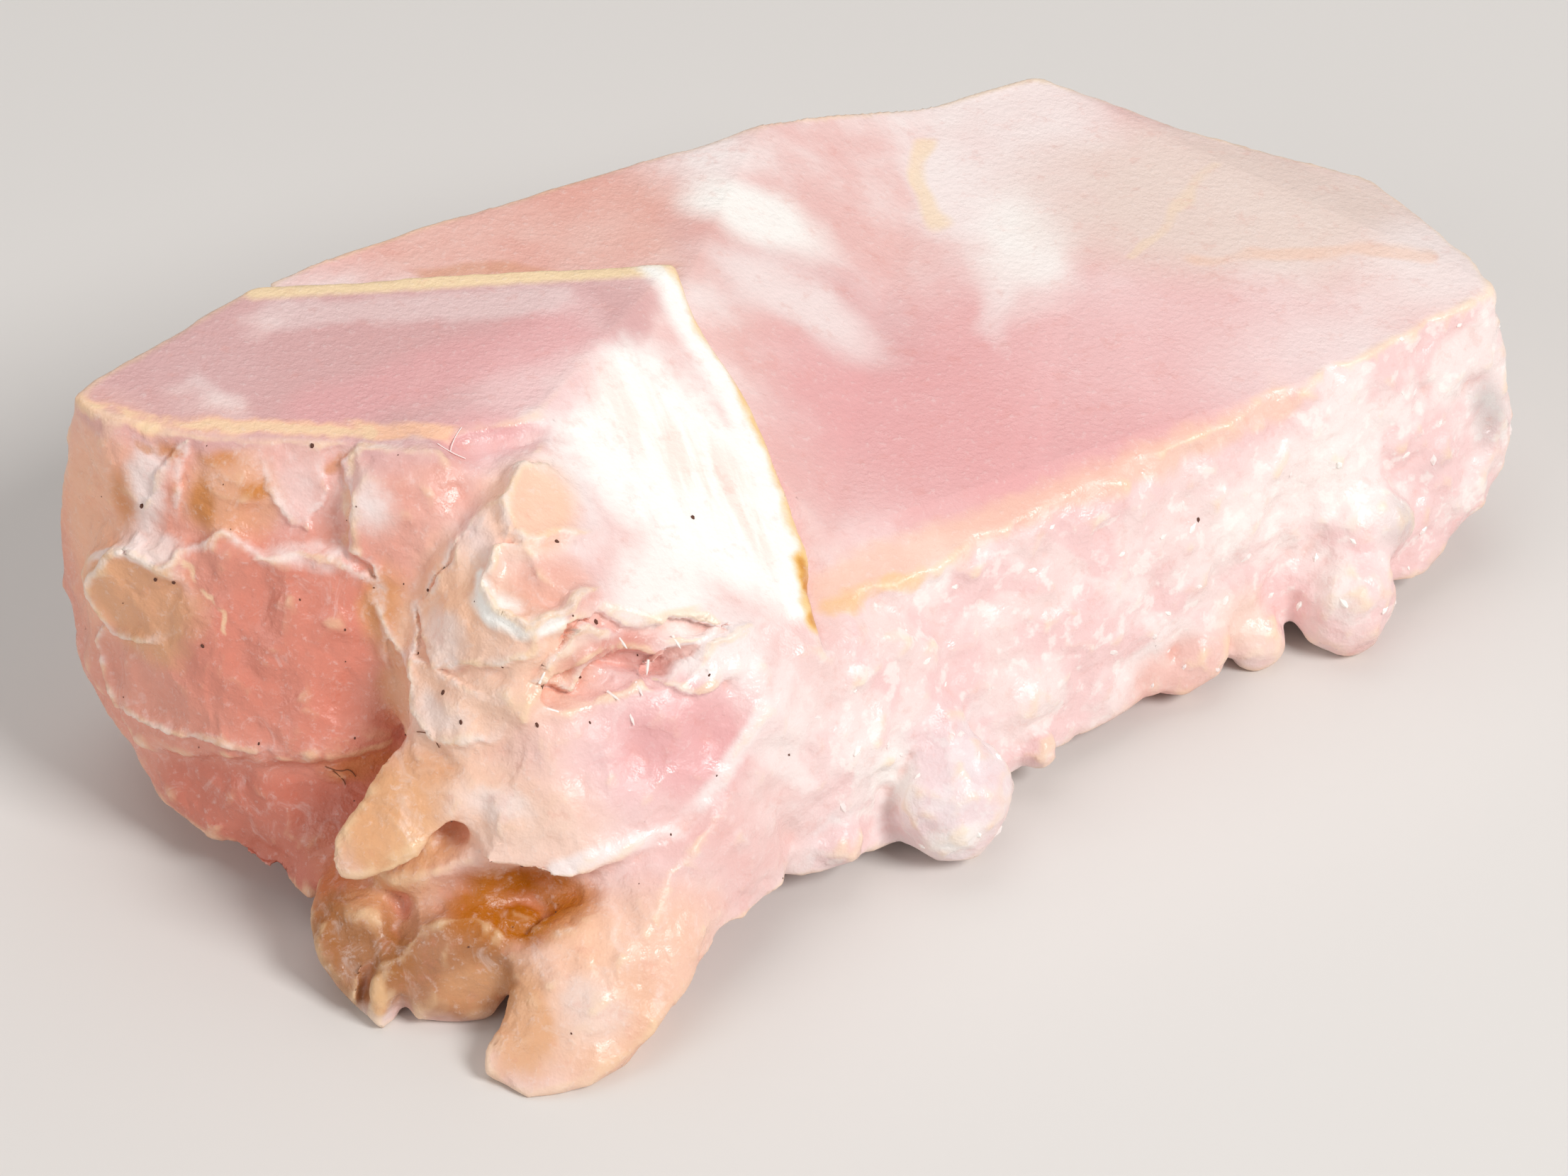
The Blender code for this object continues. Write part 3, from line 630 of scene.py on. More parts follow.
# Patches of colour: kind of outline, colour, middle, half sizes, strength, softness and, where it
# isn't up, the way that their thin side faces.
PATCHES = (
    # Broken left front.
    ("soft", "salmon", (-23.0, -4.0, 8.0), (11.5, 8.0, 11.0), 0.95, 0.25),
    ("soft", "coral", (-18.2, -5.5, 10.2), (4.4, 3.2, 5.2), 0.85, 0.45),
    ("soft", "terracotta", (-20.0, -8.0, 3.2), (9.0, 4.0, 3.0), 0.8, 0.3),
    ("soft", "ochre", (-17.0, -11.5, 3.6), (3.0, 2.6, 2.0), 0.55, 0.5),
    # Painted light: this apricot patch lightens the far left of the front, which lies in shade.
    ("rough", "apricot", (-26.2, -1.2, 13.4), (2.2, 2.6, 4.6), 0.7, 0.5),
    ("rough", "tan", (-23.7, -3.4, 11.2), (3.0, 2.0, 2.3), 0.8, 0.25),
    ("rough", "milk", (-23.6, -2.2, 15.6), (0.8, 1.2, 2.1), 0.8, 0.5),
    ("rough", "milk", (-23.9, -3.2, 13.6), (1.7, 1.2, 0.5), 0.7, 0.5),
    ("rough", "petal", (-18.2, -3.0, 16.2), (1.5, 1.5, 1.5), 0.45, 0.6),
    ("rough", "milk", (-17.9, -3.2, 16.5), (0.9, 1.2, 0.9), 0.35, 0.7),
    ("rough", "milk", (-17.4, -4.2, 14.3), (1.5, 0.8, 0.5), 0.7, 0.5),
    ("rough", "tan", (-20.4, -3.0, 16.0), (1.8, 1.2, 1.6), 0.6, 0.4),
    ("fine", "ochre", (-21.5, -2.9, 15.6), (0.5, 0.9, 0.9), 0.75, 0.5),
    ("fine", "ochre", (-19.5, -2.9, 16.3), (0.6, 0.9, 0.35), 0.8, 0.5),
    ("fine", "ochre", (-24.6, -1.8, 15.0), (0.5, 1.0, 1.1), 0.6, 0.6),
    ("fine", "ochre", (-22.7, -2.0, 17.4), (0.6, 0.8, 0.3), 0.7, 0.6),
    ("fine", "ochre", (-20.9, -2.2, 17.3), (0.7, 0.8, 0.3), 0.7, 0.6),
    ("rough", "salmon", (-13.4, -3.8, 16.2), (2.6, 2.2, 2.2), 0.7, 0.5),
    ("rough", "coral", (-12.9, -3.0, 16.7), (1.7, 1.6, 1.4), 0.35, 0.5),
    ("rough", "milk", (-15.2, -3.6, 16.3), (1.0, 1.4, 0.9), 0.8, 0.7),
    ("rough", "tan", (-14.6, -5.3, 12.6), (0.9, 1.6, 1.8), 0.75, 0.4),
    ("fine", "ochre", (-14.9, -5.3, 12.8), (0.7, 1.4, 1.2), 0.45, 0.6),
    ("rough", "apricot", (-13.9, -5.6, 11.8), (0.5, 1.5, 1.2), 0.6, 0.5),
    ("rough", "ochre", (-14.2, -6.8, 9.9), (0.7, 1.4, 1.6), 0.75, 0.5),
    ("rough", "ochre", (-15.4, -7.3, 6.4), (1.8, 1.0, 0.7), 0.6, 0.6),
    # Nose, claw and feet.
    ("soft", "peach", (-11.0, -9.0, 11.5), (4.4, 4.0, 5.5), 0.9, 0.35),
    # Painted light: this apricot patch lightens the left side of the nose's flake, which lies in
    # shade.
    ("rough", "apricot", (-12.4, -6.8, 13.8), (1.6, 2.2, 2.4), 0.8, 0.4),
    ("rough", "milk", (-12.6, -8.6, 10.6), (0.9, 1.5, 0.8), 0.6, 0.5),
    ("rough", "milk", (-12.4, -7.4, 12.9), (0.9, 1.3, 0.9), 0.6, 0.5),
    ("rough", "petal", (-5.0, -10.0, 9.6), (4.8, 2.8, 2.6), 0.8, 0.45),
    ("rough", "rose", (-3.6, -9.4, 9.6), (3.2, 1.9, 1.9), 0.75, 0.5),
    ("fine", "coral", (-5.6, -8.6, 12.9), (3.0, 1.4, 0.8), 0.65, 0.35),
    ("rough", "milk", (-2.4, -7.3, 12.2), (2.2, 1.5, 0.9), 0.9, 0.4),
    ("fine", "apricot", (-9.2, -4.9, 17.0), (1.9, 2.3, 1.2), 0.75, 0.4),
    ("rough", "salmon", (-8.7, -7.5, 15.2), (1.6, 1.3, 0.9), 0.6, 0.5),
    ("fine", "white", (-10.4, -8.0, 14.8), (1.1, 0.9, 0.45), 0.8, 0.4),
    ("rough", "tan", (-14.6, -10.8, 6.6), (3.0, 2.4, 2.6), 1.0, 0.3),
    ("rough", "cream", (-13.6, -11.4, 6.4), (1.1, 1.0, 1.1), 0.3, 0.6),
    ("rough", "ochre", (-12.4, -9.9, 8.9), (1.6, 0.8, 0.6), 0.5, 0.5),
    ("rough", "peach", (-9.6, -12.0, 7.0), (3.0, 2.0, 2.6), 0.6, 0.5),
    ("rough", "milk", (-10.6, -11.3, 8.3), (1.4, 1.2, 0.6), 0.6, 0.5),
    ("soft", "peach", (-6.5, -15.5, 3.0), (5.5, 4.0, 3.2), 0.8, 0.35),
    ("rough", "tan", (-9.6, -16.4, 1.8), (1.3, 2.4, 2.2), 0.85, 0.35),
    ("soft", "tan", (-6.4, -17.0, 1.8), (2.6, 2.4, 2.4), 0.35, 0.5),
    ("rough", "milk", (-7.0, -16.2, 2.6), (1.1, 1.2, 1.3), 0.45, 0.6),
    ("rough", "umber", (-16.2, -13.2, 2.6), (2.6, 2.4, 2.8), 0.95, 0.3),
    ("rough", "umber", (-12.2, -14.2, 2.4), (2.6, 2.2, 2.3), 0.9, 0.3),
    ("rough", "tan", (-11.4, -14.6, 1.8), (1.2, 1.2, 0.9), 0.6, 0.6),
    ("rough", "tan", (-14.6, -12.2, 4.2), (2.2, 1.4, 0.9), 0.7, 0.5),
    ("fine", "rust", (-9.8, -12.6, 4.3), (2.9, 1.8, 1.4), 1.0, 0.3),
    ("fine", "ochre", (-8.2, -13.3, 4.6), (1.5, 1.1, 0.8), 0.6, 0.6),
    ("fine", "apricot", (-7.3, -14.4, 4.0), (1.2, 1.3, 0.9), 0.6, 0.6),
    # Raised block.
    ("soft", "mauve", (-15.2, 3.2, 18.0), (13.5, 6.5, 0.7), 0.9, 0.25),
    ("rough", "petal", (-9.6, 0.6, 18.0), (2.4, 3.0, 0.7), 0.7, 0.5),
    ("rough", "rose", (-11.4, -1.8, 17.8), (1.8, 1.4, 0.9), 0.6, 0.5),
    # Milky white of the bright face, partly painted glare of the light that falls on it.
    ("rough", "white", (-3.9, -0.4, 15.6), (3.8, 8.4, 0.8), 1.0, 0.25, BRIGHT_FACE),
    ("rough", "white", (-4.2, -5.5, 14.1), (3.4, 1.7, 0.9), 0.75, 0.5, BRIGHT_FACE),
    ("rough", "petal", (-9.0, 1.8, 17.9), (1.9, 2.4, 0.7), 0.85, 0.5),
    ("rough", "petal", (-8.0, 4.6, 17.9), (1.3, 2.2, 0.7), 0.6, 0.5),
    # Strip behind the block, and the valley.
    ("soft", "salmon", (-11.0, 14.5, 15.8), (9.0, 4.5, 2.0), 0.6, 0.35),
    ("soft", "rose", (9.5, 7.0, 12.1), (11.5, 7.5, 2.5), 0.9, 0.5),
    ("soft", "petal", (17.0, 11.0, 12.1), (8.0, 4.5, 2.5), 0.6, 0.6),
    ("soft", "mauve", (0.5, 12.5, 14.2), (2.2, 10.5, 0.9), 0.35, 0.5, SLOPE),
    ("soft", "white", (-1.2, 15.8, 15.0), (1.9, 3.0, 0.9), 0.9, 0.45, SLOPE),
    ("soft", "milk", (0.4, 11.6, 13.9), (1.2, 4.0, 0.9), 0.75, 0.6, SLOPE),
    ("soft", "milk", (9.8, 26.6, 13.0), (3.4, 3.0, 2.0), 0.8, 0.5),
    ("soft", "milk", (9.6, 21.6, 12.9), (3.0, 3.0, 1.0), 0.6, 0.6),
    ("soft", "milk", (7.0, 21.4, 12.9), (1.4, 3.4, 1.0), 0.8, 0.6),
    ("soft", "white", (9.4, 16.6, 12.5), (1.9, 3.4, 1.0), 0.7, 0.5),
    ("soft", "milk", (8.4, 13.2, 12.4), (0.6, 1.9, 1.0), 0.5, 0.7),
    ("soft", "fog", (18.8, 20.6, 12.4), (8.6, 5.0, 1.6), 0.9, 0.4),
    ("soft", "milk", (26.4, 16.8, 11.6), (3.0, 3.0, 2.0), 0.8, 0.5),
    # Sugary side and its knobs.
    ("rough", "milk", (7.0, -0.4, 10.2), (2.8, 1.6, 1.3), 0.9, 0.4),
    ("soft", "milk", (23.5, 10.0, 7.5), (7.5, 5.0, 5.0), 0.8, 0.45),
    ("soft", "clear", (6.4, -5.0, 3.2), (3.0, 3.0, 3.2), 0.8, 0.4),
    ("soft", "clear", (1.9, -6.9, 2.4), (1.5, 1.5, 1.5), 0.7, 0.4),
)

# Patches laid over the sugar of the right side, as above.
SIDE_PATCHES = (
    ("rough", "clear", (6.4, -5.0, 3.2), (2.6, 3.0, 2.6), 0.6, 0.5),
    ("rough", "white", (4.2, -6.0, 4.4), (0.9, 1.4, 1.6), 0.7, 0.5),
    ("rough", "white", (6.6, -7.0, 2.2), (1.2, 1.2, 0.7), 0.7, 0.5),
    ("soft", "salmon", (15.5, 4.0, 1.6), (3.0, 2.4, 1.6), 0.5, 0.4),
    ("soft", "peach", (18.8, 5.0, 2.6), (1.4, 1.6, 1.6), 0.45, 0.5),
    ("soft", "white", (19.8, 7.0, 7.6), (2.8, 2.6, 2.4), 0.55, 0.5),
    ("soft", "petal", (23.0, 7.4, 2.8), (2.8, 2.8, 3.0), 0.35, 0.4),
    ("rough", "white", (22.0, 6.2, 3.6), (1.0, 1.2, 1.2), 0.6, 0.6),
    ("soft", "smoke", (28.4, 13.6, 6.8), (0.7, 1.0, 1.5), 0.5, 0.7),
    ("soft", "smoke", (24.7, 8.3, 5.4), (1.4, 1.2, 0.9), 0.30, 0.7),
    ("soft", "smoke", (26.4, 10.4, 6.0), (0.8, 1.0, 0.6), 0.30, 0.7),
)

# Bands of colour along edges and cracks: kind of outline, colour, strength, width and points.
CREST = ((-4.3, 9.0, 18.0), (-3.5, 7.0, 17.0), (-1.1, 3.5, 14.9), (0.9, -1.6, 12.5),
         (1.0, -4.2, 11.7))
CREST_SIDE = ((-4.9, 8.8, 17.9), (-4.1, 6.8, 17.1), (-1.7, 3.3, 15.0), (0.2, -1.8, 12.6),
              (0.4, -4.3, 11.8))
BANDS = (
    ("rough", "rose", 0.6, 1.4, ((-17.0, -0.3, 18.0), (-8.8, 4.2, 18.0))),
    ("rough", "milk", 0.35, 0.9, ((-19.0, 5.4, 18.0), (-9.0, 6.4, 18.0))),
    ("rough", "apricot", 0.9, 0.42, ((-26.0, 0.0, 17.9), (-22.0, -1.4, 17.9),
     (-12.4, -1.7, 18.0))),
    ("rough", "cream", 0.6, 0.30, ((-25.6, -0.1, 17.9), (-22.0, -1.4, 17.9), (-15.3, -1.7, 17.9))),
    ("rough", "ochre", 0.55, 0.22, ((-25.0, -1.0, 17.2), (-21.0, -2.2, 17.1),
     (-16.0, -2.5, 17.1))),
    ("fine", "cream", 1.0, 0.50, ((-20.1, 6.9, 18.0), (-4.6, 8.4, 18.0))),
    ("fine", "ochre", 0.8, 0.35, ((-20.0, 7.8, 17.2), (-4.4, 9.3, 17.2))),
    ("soft", "ochre", 0.4, 0.5, ((-14.0, 10.9, 15.9), (-4.4, 11.1, 15.6))),
    ("fine", "white", 1.0, 0.75, CREST_SIDE),
    ("rough", "cream", 0.9, 0.42, CREST),
    ("rough", "amber", 0.6, 0.20, CREST),
    ("rough", "apricot", 0.35, 0.28, ((-3.6, 1.0, 15.0), (-0.9, -3.4, 12.3))),
    ("fine", "white", 0.9, 0.36, ((-11.1, -7.2, 15.5), (-10.7, -8.3, 14.7), (-9.4, -9.0, 14.5),
     (-8.2, -8.9, 14.8))),
    ("fine", "amber", 1.0, 0.42, ((0.6, -2.4, 12.2), (1.1, -4.6, 11.2))),
    ("fine", "ochre", 0.8, 0.26, ((0.6, -2.4, 12.2), (1.1, -4.6, 11.2))),
    ("rough", "cream", 0.6, 0.3, ((-15.9, -2.7, 17.3), (-16.1, -4.0, 14.6))),
    ("fine", "milk", 0.7, 0.20, ((-26.4, -1.6, 10.3), (-25.9, -2.2, 12.4), (-24.4, -3.3, 13.8),
     (-22.2, -4.0, 14.2))),
    ("rough", "cream", 0.6, 0.16, ((-22.2, -4.0, 13.6), (-21.0, -5.0, 11.8), (-20.2, -5.6, 9.4),
     (-21.0, -5.8, 8.6))),
    ("rough", "cream", 0.5, 0.16, ((-20.2, -5.6, 9.2), (-18.6, -7.0, 7.2))),
    ("fine", "cream", 0.65, 0.2, ((-24.8, -3.9, 5.2), (-20.7, -6.6, 6.7), (-17.6, -7.4, 7.0),
     (-14.8, -7.0, 7.3))),
    ("fine", "milk", 0.85, 0.40, ((-8.3, -12.9, 6.3), (-6.3, -12.5, 6.8), (-3.8, -11.3, 6.9),
     (-2.3, -10.0, 8.0), (-0.6, -8.1, 10.1))),
    ("rough", "peach", 0.6, 0.8, ((1.8, -2.6, 11.4), (19.7, 8.2, 11.5))),
    ("rough", "amber", 0.5, 0.5, ((1.8, -3.4, 11.1), (5.0, -1.6, 10.9))),
    ("soft", "cream", 0.6, 0.45, ((5.9, 23.8, 13.0), (6.1, 18.6, 12.8))),
    ("soft", "cream", 0.35, 0.3, ((14.0, 16.8, 12.4), (17.8, 22.6, 12.6))),
    ("soft", "peach", 0.5, 0.4, ((16.8, 16.6, 12.3), (26.0, 17.4, 12.0))),
    ("fine", "ochre", 0.8, 0.30, ((-15.5, -14.0, 3.4), (-14.9, -14.9, 1.0))),
    ("rough", "milk", 0.6, 0.5, ((0.2, -6.6, 10.6), (-0.9, -8.6, 9.2), (0.9, -7.9, 6.0))),
)


# Rounds of smoothing: where cleaved faces meet broken ones, of the broken faces themselves, and of
# the even skin that proud edges are measured from.
EASING = 13
WEAR = 10
EDGE_REACH = 30


class StoneOperator(bpy.types.Operator):
    """Build the stone's broken skin over the solid and colour it"""

    bl_idname = "rose_quartz.stone"
    bl_label = "Stone"

    def execute(self, context):
        shape = context.scene.quartz_shape
        node = frame["nodes"][NODE]
        planes = large_planes(node.data)
        pick(node)
        bpy.ops.object.duplicate()
        stone = context.view_layer.objects.active
        bpy.ops.object.parent_clear(type="CLEAR_KEEP_TRANSFORM")
        stone.name = "stone_skin"
        bpy.ops.object.mode_set(mode="EDIT")
        bpy.ops.mesh.select_all(action="SELECT")
        bpy.ops.mesh.remove_doubles(threshold=0.001 * MM)
        bpy.ops.object.mode_set(mode="OBJECT")
        bpy.ops.mesh.primitive_ico_sphere_add(subdivisions=3, radius=CAVITY_WALL * MM,
                                              location=millimetres(CAVITY))
        wall = context.active_object
        pick(stone)
        wall.select_set(True)
        bpy.ops.object.join()
        apply_modifier(stone, "skin", "REMESH", mode="VOXEL", voxel_size=shape.grain)
        cleaved = spread(stone.data, cleaved_share(stone.data, planes), EASING)[:, 0]
        weights = zones(spots(stone.data), cleaved)
        for name, share in weights.items():
            weigh(stone, name, share)
        apply_modifier(stone, "wear", "SMOOTH", factor=0.5, iterations=WEAR,
                       vertex_group="all")
        for name, setting, share, group, grain, octaves, basis, steps in RELIEF:
            texture = clouds(name, grain, octaves, basis, steps)
            depth = share * getattr(shape, setting)
            apply_modifier(stone, name, "DISPLACE", texture=texture, strength=depth,
                           mid_level=0.5, vertex_group=group)
        shift, rim = lay_flakes(spots(stone.data), directions(stone.data))
        shift += bow_crest(spots(stone.data))
        for axis, moves in zip("XYZ", shift.T):
            for name, sign in ((f"{axis}_up", 1.0), (f"{axis}_down", -1.0)):
                most = (moves * sign).max()
                weigh(stone, name, moves * sign / most, FINE_LEVELS)
                apply_modifier(stone, name, "DISPLACE", direction=axis, mid_level=0.0,
                               strength=sign * most * MM, vertex_group=name)
        store(stone.data, "rim", rim)
        store(stone.data, "sugary", weights["side"])
        store(stone.data, "dusty", weights["front"])
        mark_edges(stone.data, EDGE_REACH)
        faces = sum(len(face.vertices) - 2 for face in stone.data.polygons)
        if faces > shape.faces:
            apply_modifier(stone, "fewer", "DECIMATE", ratio=shape.faces / faces,
                           use_collapse_triangulate=True)
        keep_in_box(stone.data)
        pick(stone)
        bpy.ops.object.shade_smooth()
        stone.vertex_groups.clear()
        finish(stone, quartz(context.scene.quartz_colours))
        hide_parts(NODE)
        return {"FINISHED"}


def quartz(colours):
    """Mix the milky pink quartz with its clouds, stains and worn edges, and with painted
    highlights, glare and shade.
    """
    recipe = Recipe("milky_pink_quartz")
    here = recipe.here
    soft = recipe.ragged(here, 5.0, 2.75)
    rough = recipe.ragged(recipe.ragged(here, 2.2, 1.45), 0.6, 0.46)
    places = {"soft": soft, "rough": rough, "fine": recipe.ragged(here, 0.8, 0.32)}
    sugary = recipe.stored("sugary")
    body = recipe.noise(6.0, 4.0, place=soft)
    colour = recipe.blend(colours.blush, colours.milk, recipe.step(body, 0.35, 0.75))
    colour = lay_patches(recipe, colours, colour, places, PATCHES)
    colour = sugar(recipe, colours, colour, sugary)
    colour = lay_patches(recipe, colours, colour, places, SIDE_PATCHES)
    colour = bright_face(recipe, colours, colour)
    distances = {}
    for outline, name, strength, width, points in BANDS:
        line = outline, points
        if line not in distances:
            distances[line] = recipe.distance(places[outline], points)
        mask = recipe.step(distances[line], width * 0.5, width * 1.5, strength, 0.0)
        colour = recipe.blend(colour, getattr(colours, name), mask)
    proud = recipe.stored("proud")
    # Cream on proud edges is worn edges and a painted highlight; salmon in hollows below the skin
    # around them is painted shade.
    colour = recipe.stain(colour, colours.cream, recipe.step(proud, 0.03, 0.14), 0.5)
    colour = recipe.stain(colour, colours.salmon, recipe.step(proud, -0.04, -0.20), 0.45)
    mottle = recipe.noise(0.7, 3.0)
    worn = recipe.step(mottle, 0.35, 0.60)
    colour = recipe.stain(colour, colours.milk, worn, 0.55, recipe.stored("rim"))
    colour = smears(recipe, colours, colour)
    colour = grains(recipe, colours, colour)
    shader = recipe.shader
    recipe.feed(shader.inputs["Base Color"], colour)
    shader.inputs["IOR"].default_value = QUARTZ_IOR
    recipe.feed(shader.inputs["Roughness"], recipe.step(mottle, 0.3, 0.7, 0.26, 0.54))
    recipe.feed(shader.inputs["Normal"], fine_relief(recipe))
    return recipe.material


def lay_patches(recipe, colours, colour, places, patches):
    """Lay patches of colour one over the other."""
    for outline, name, middle, radii, strength, soft, *facing in patches:
        mask = recipe.patch(places[outline], middle, radii, soft, strength, *facing)
        colour = recipe.blend(colour, getattr(colours, name), mask)
    return colour


def sugar(recipe, colours, under, sugary):
    """Cloud the sugary side with rose blotches and white clots."""
    colour = recipe.stain(under, colours.milk, sugary, 0.55)
    blotches = recipe.step(recipe.noise(3.4, 3.0, warp=0.4), 0.44, 0.60)
    colour = recipe.stain(colour, colours.petal, blotches, 0.8, sugary)
    clots = recipe.step(recipe.noise(0.9, 3.0, 0.6), 0.54, 0.66)
    return recipe.stain(colour, colours.white, clots, 0.5, sugary)


def bright_face(recipe, colours, under):
    """Streak the bright face with peach and pink, more so towards the crest."""
    place = recipe.ragged(recipe.here, 1.6, 0.73)
    face = recipe.patch(place, (-3.6, -0.4, 15.2), (4.3, 8.0, 0.8), 0.4, facing=BRIGHT_FACE)
    streaks = recipe.streaks(CREST_RUN, 4.5, 0.8)
    colour = recipe.stain(under, colours.petal, recipe.step(streaks, 0.50, 0.64), 0.16, face)
    inner = recipe.patch(place, (-1.6, -0.9, 14.0), (1.7, 7.0, 0.9), 0.6, facing=BRIGHT_FACE)
    return recipe.stain(colour, colours.peach, recipe.step(streaks, 0.42, 0.58), 0.26, inner)


def smears(recipe, colours, under):
    """Lay soft milky smears on the broken front."""
    share = recipe.step(recipe.noise(1.6, 4.0, 0.7, warp=1.2), 0.54, 0.70)
    return recipe.stain(under, colours.milk, share, 0.22, recipe.stored("dusty"))


def grains(recipe, colours, under):
    """Fleck the quartz with fine pale and dark grains."""
    pale = recipe.step(recipe.noise(0.30, 3.0, 0.7), 0.55, 0.72)
    colour = recipe.stain(under, colours.milk, pale, 0.22)
    dark = recipe.step(recipe.noise(0.9, 4.0, 0.7), 0.46, 0.30)
    return recipe.stain(colour, colours.coral, dark, 0.16)


def fine_relief(recipe):
    """Roughen the surface a little, finer than the skin's own faces."""
    height = recipe.noise(0.30, 2.0, 0.65)
    sockets = {"Height": height, "Strength": 0.75, "Distance": 0.07 * MM}
    return recipe.add("Bump", sockets).outputs["Normal"]


class CrystalsOperator(bpy.types.Operator):
    """Grow small sugary crystals on the right side and splinters in the hollow of the nose"""

    bl_idname = "rose_quartz.crystals"
    bl_label = "Crystals"

    def execute(self, context):
        width = context.scene.quartz_shape.crystal
        skin = bpy.data.objects["stone_skin"]
        material = glassy(context.scene.quartz_colours)
        chance = np.random.default_rng(SEED)
        model = model_crystal(width)
        twins = []
        for place, normal in scatter(skin, "sugary", CRYSTALS, CRYSTAL_GAP, chance):
            lean = Vector(chance.normal(0.0, 1.0, 3))
            along = (lean - lean.dot(normal) * normal).normalized() + normal * CRYSTAL_RISE
            size = chance.uniform(*CRYSTAL_SIZES)
            sunk = place - normal * width * size * CRYSTAL_SUNK
            twins.append(copy_crystal(model, sunk, along, size, 1.3))
        join(twins, "side_crystals", material)
        twins = []
        for spot, along in SPLINTERS:
            place, normal = nearest(skin, spot)
            lying = Vector(along).normalized()
            lying -= (lying.dot(normal) - SPLINTER_RISE) * normal
            sunk = place - normal * width * SPLINTER_SUNK
            twins.append(copy_crystal(model, sunk, lying, SPLINTER_SIZE, SPLINTER_STRETCH))
        join(twins, "splinters", material)
        bpy.data.objects.remove(model)
        return {"FINISHED"}


# Side crystals: how many, the gap between them in millimetres, how far they tip up, their sizes as
# shares of the crystal's width, and the share of it that is sunk.
CRYSTALS = 64
CRYSTAL_GAP = 0.9
CRYSTAL_RISE = 0.35
CRYSTAL_SIZES = (0.35, 0.8)
CRYSTAL_SUNK = 0.38

# Splinters in the hollow: how far they tip up, how far they are sunk, their size and stretch, and
# the place and the way of each one.
SPLINTER_RISE = 0.12
SPLINTER_SUNK = 0.1
SPLINTER_SIZE = 0.26
SPLINTER_STRETCH = 4.0
SPLINTERS = (
    ((-6.4, -9.1, 12.4), (0.75, -0.3, -0.55)),
    ((-5.8, -8.2, 13.3), (0.6, -0.3, -0.75)),
    ((-5.2, -9.2, 12.1), (0.3, -0.4, -0.85)),
    ((-4.6, -8.9, 12.3), (0.35, -0.3, -0.8)),
    ((-8.8, -9.8, 12.9), (0.45, 0.55, 0.75)),
    ((-8.4, -9.3, 13.4), (0.45, 0.55, 0.75)),
    ((-8.2, -10.0, 12.2), (0.8, -0.1, -0.6)),
    ((-5.6, -9.7, 11.0), (0.3, -0.3, -0.9)),
    ((-3.9, -7.8, 12.9), (0.5, -0.4, -0.7)),
)


def model_crystal(width):
    """Model one stubby six sided crystal with a blunt tip, pointing up."""
    deselect()
    bpy.ops.mesh.primitive_cylinder_add(vertices=6, radius=width / 2.0, depth=width * 0.9)
    crystal = bpy.context.active_object
    bpy.ops.object.mode_set(mode="EDIT")
    bpy.ops.mesh.select_mode(type="FACE")
    bpy.ops.object.mode_set(mode="OBJECT")
    for face in crystal.data.polygons:
        face.select = face.normal.z > 0.9
    bpy.ops.object.mode_set(mode="EDIT")
    bpy.ops.mesh.extrude_region_move(TRANSFORM_OT_translate={"value": (0.0, 0.0, width * 0.45)})
    bpy.ops.transform.resize(value=(0.25, 0.25, 1.0))
    bpy.ops.object.mode_set(mode="OBJECT")
    return crystal


def copy_crystal(model, place, along, size, stretch):
    """Copy the crystal with its own mesh, turned along a direction and stretched along it."""
    twin = model.copy()
    twin.data = model.data.copy()
    bpy.context.scene.collection.objects.link(twin)
    turn = along.to_track_quat("Z", "Y")
    twin.matrix_world = Matrix.LocRotScale(place, turn, (size, size, size * stretch))
    return twin


def join(pieces, name, material):
    """Join pieces in one object at the origin and finish it."""
    deselect()
    for piece in pieces:
        piece.select_set(True)
    bpy.context.view_layer.objects.active = pieces[0]
    bpy.ops.object.transform_apply(location=True, rotation=True, scale=True)
    bpy.ops.object.join()
    whole = bpy.context.view_layer.objects.active
    whole.name = name
    keep_in_box(whole.data)
    finish(whole, material)


def nearest(skin, spot):
    """Find the place on the skin nearest a spot in millimetres from the datum, and its normal."""
    _, place, normal, _ = skin.closest_point_on_mesh(millimetres(spot))
    return place, normal


def scatter(skin, name, count, gap, chance):
    """Choose places on the skin where a stored value is high, at least a gap in mm apart."""
    mesh = skin.data
    values = np.empty(len(mesh.vertices))
    mesh.attributes[name].data.foreach_get("value", values)
    order = chance.permutation(np.flatnonzero(values > 0.6))
    chosen = []
    for index in order:
        vertex = mesh.vertices[int(index)]
        if all((vertex.co - other).length > gap * MM for other, _ in chosen):
            chosen.append((vertex.co.copy(), vertex.normal.copy()))
            if len(chosen) == count:
                break
    return chosen


def glassy(colours):
    """Mix the whitish clear quartz of the small crystals."""
    recipe = Recipe("whitish_quartz")
    share = recipe.step(recipe.noise(1.2, 3.0), 0.4, 0.6)
    colour = recipe.blend(colours.white, colours.milk, share)
    recipe.feed(recipe.shader.inputs["Base Color"], colour)
    recipe.shader.inputs["IOR"].default_value = QUARTZ_IOR
    recipe.shader.inputs["Roughness"].default_value = 0.12
    return recipe.material


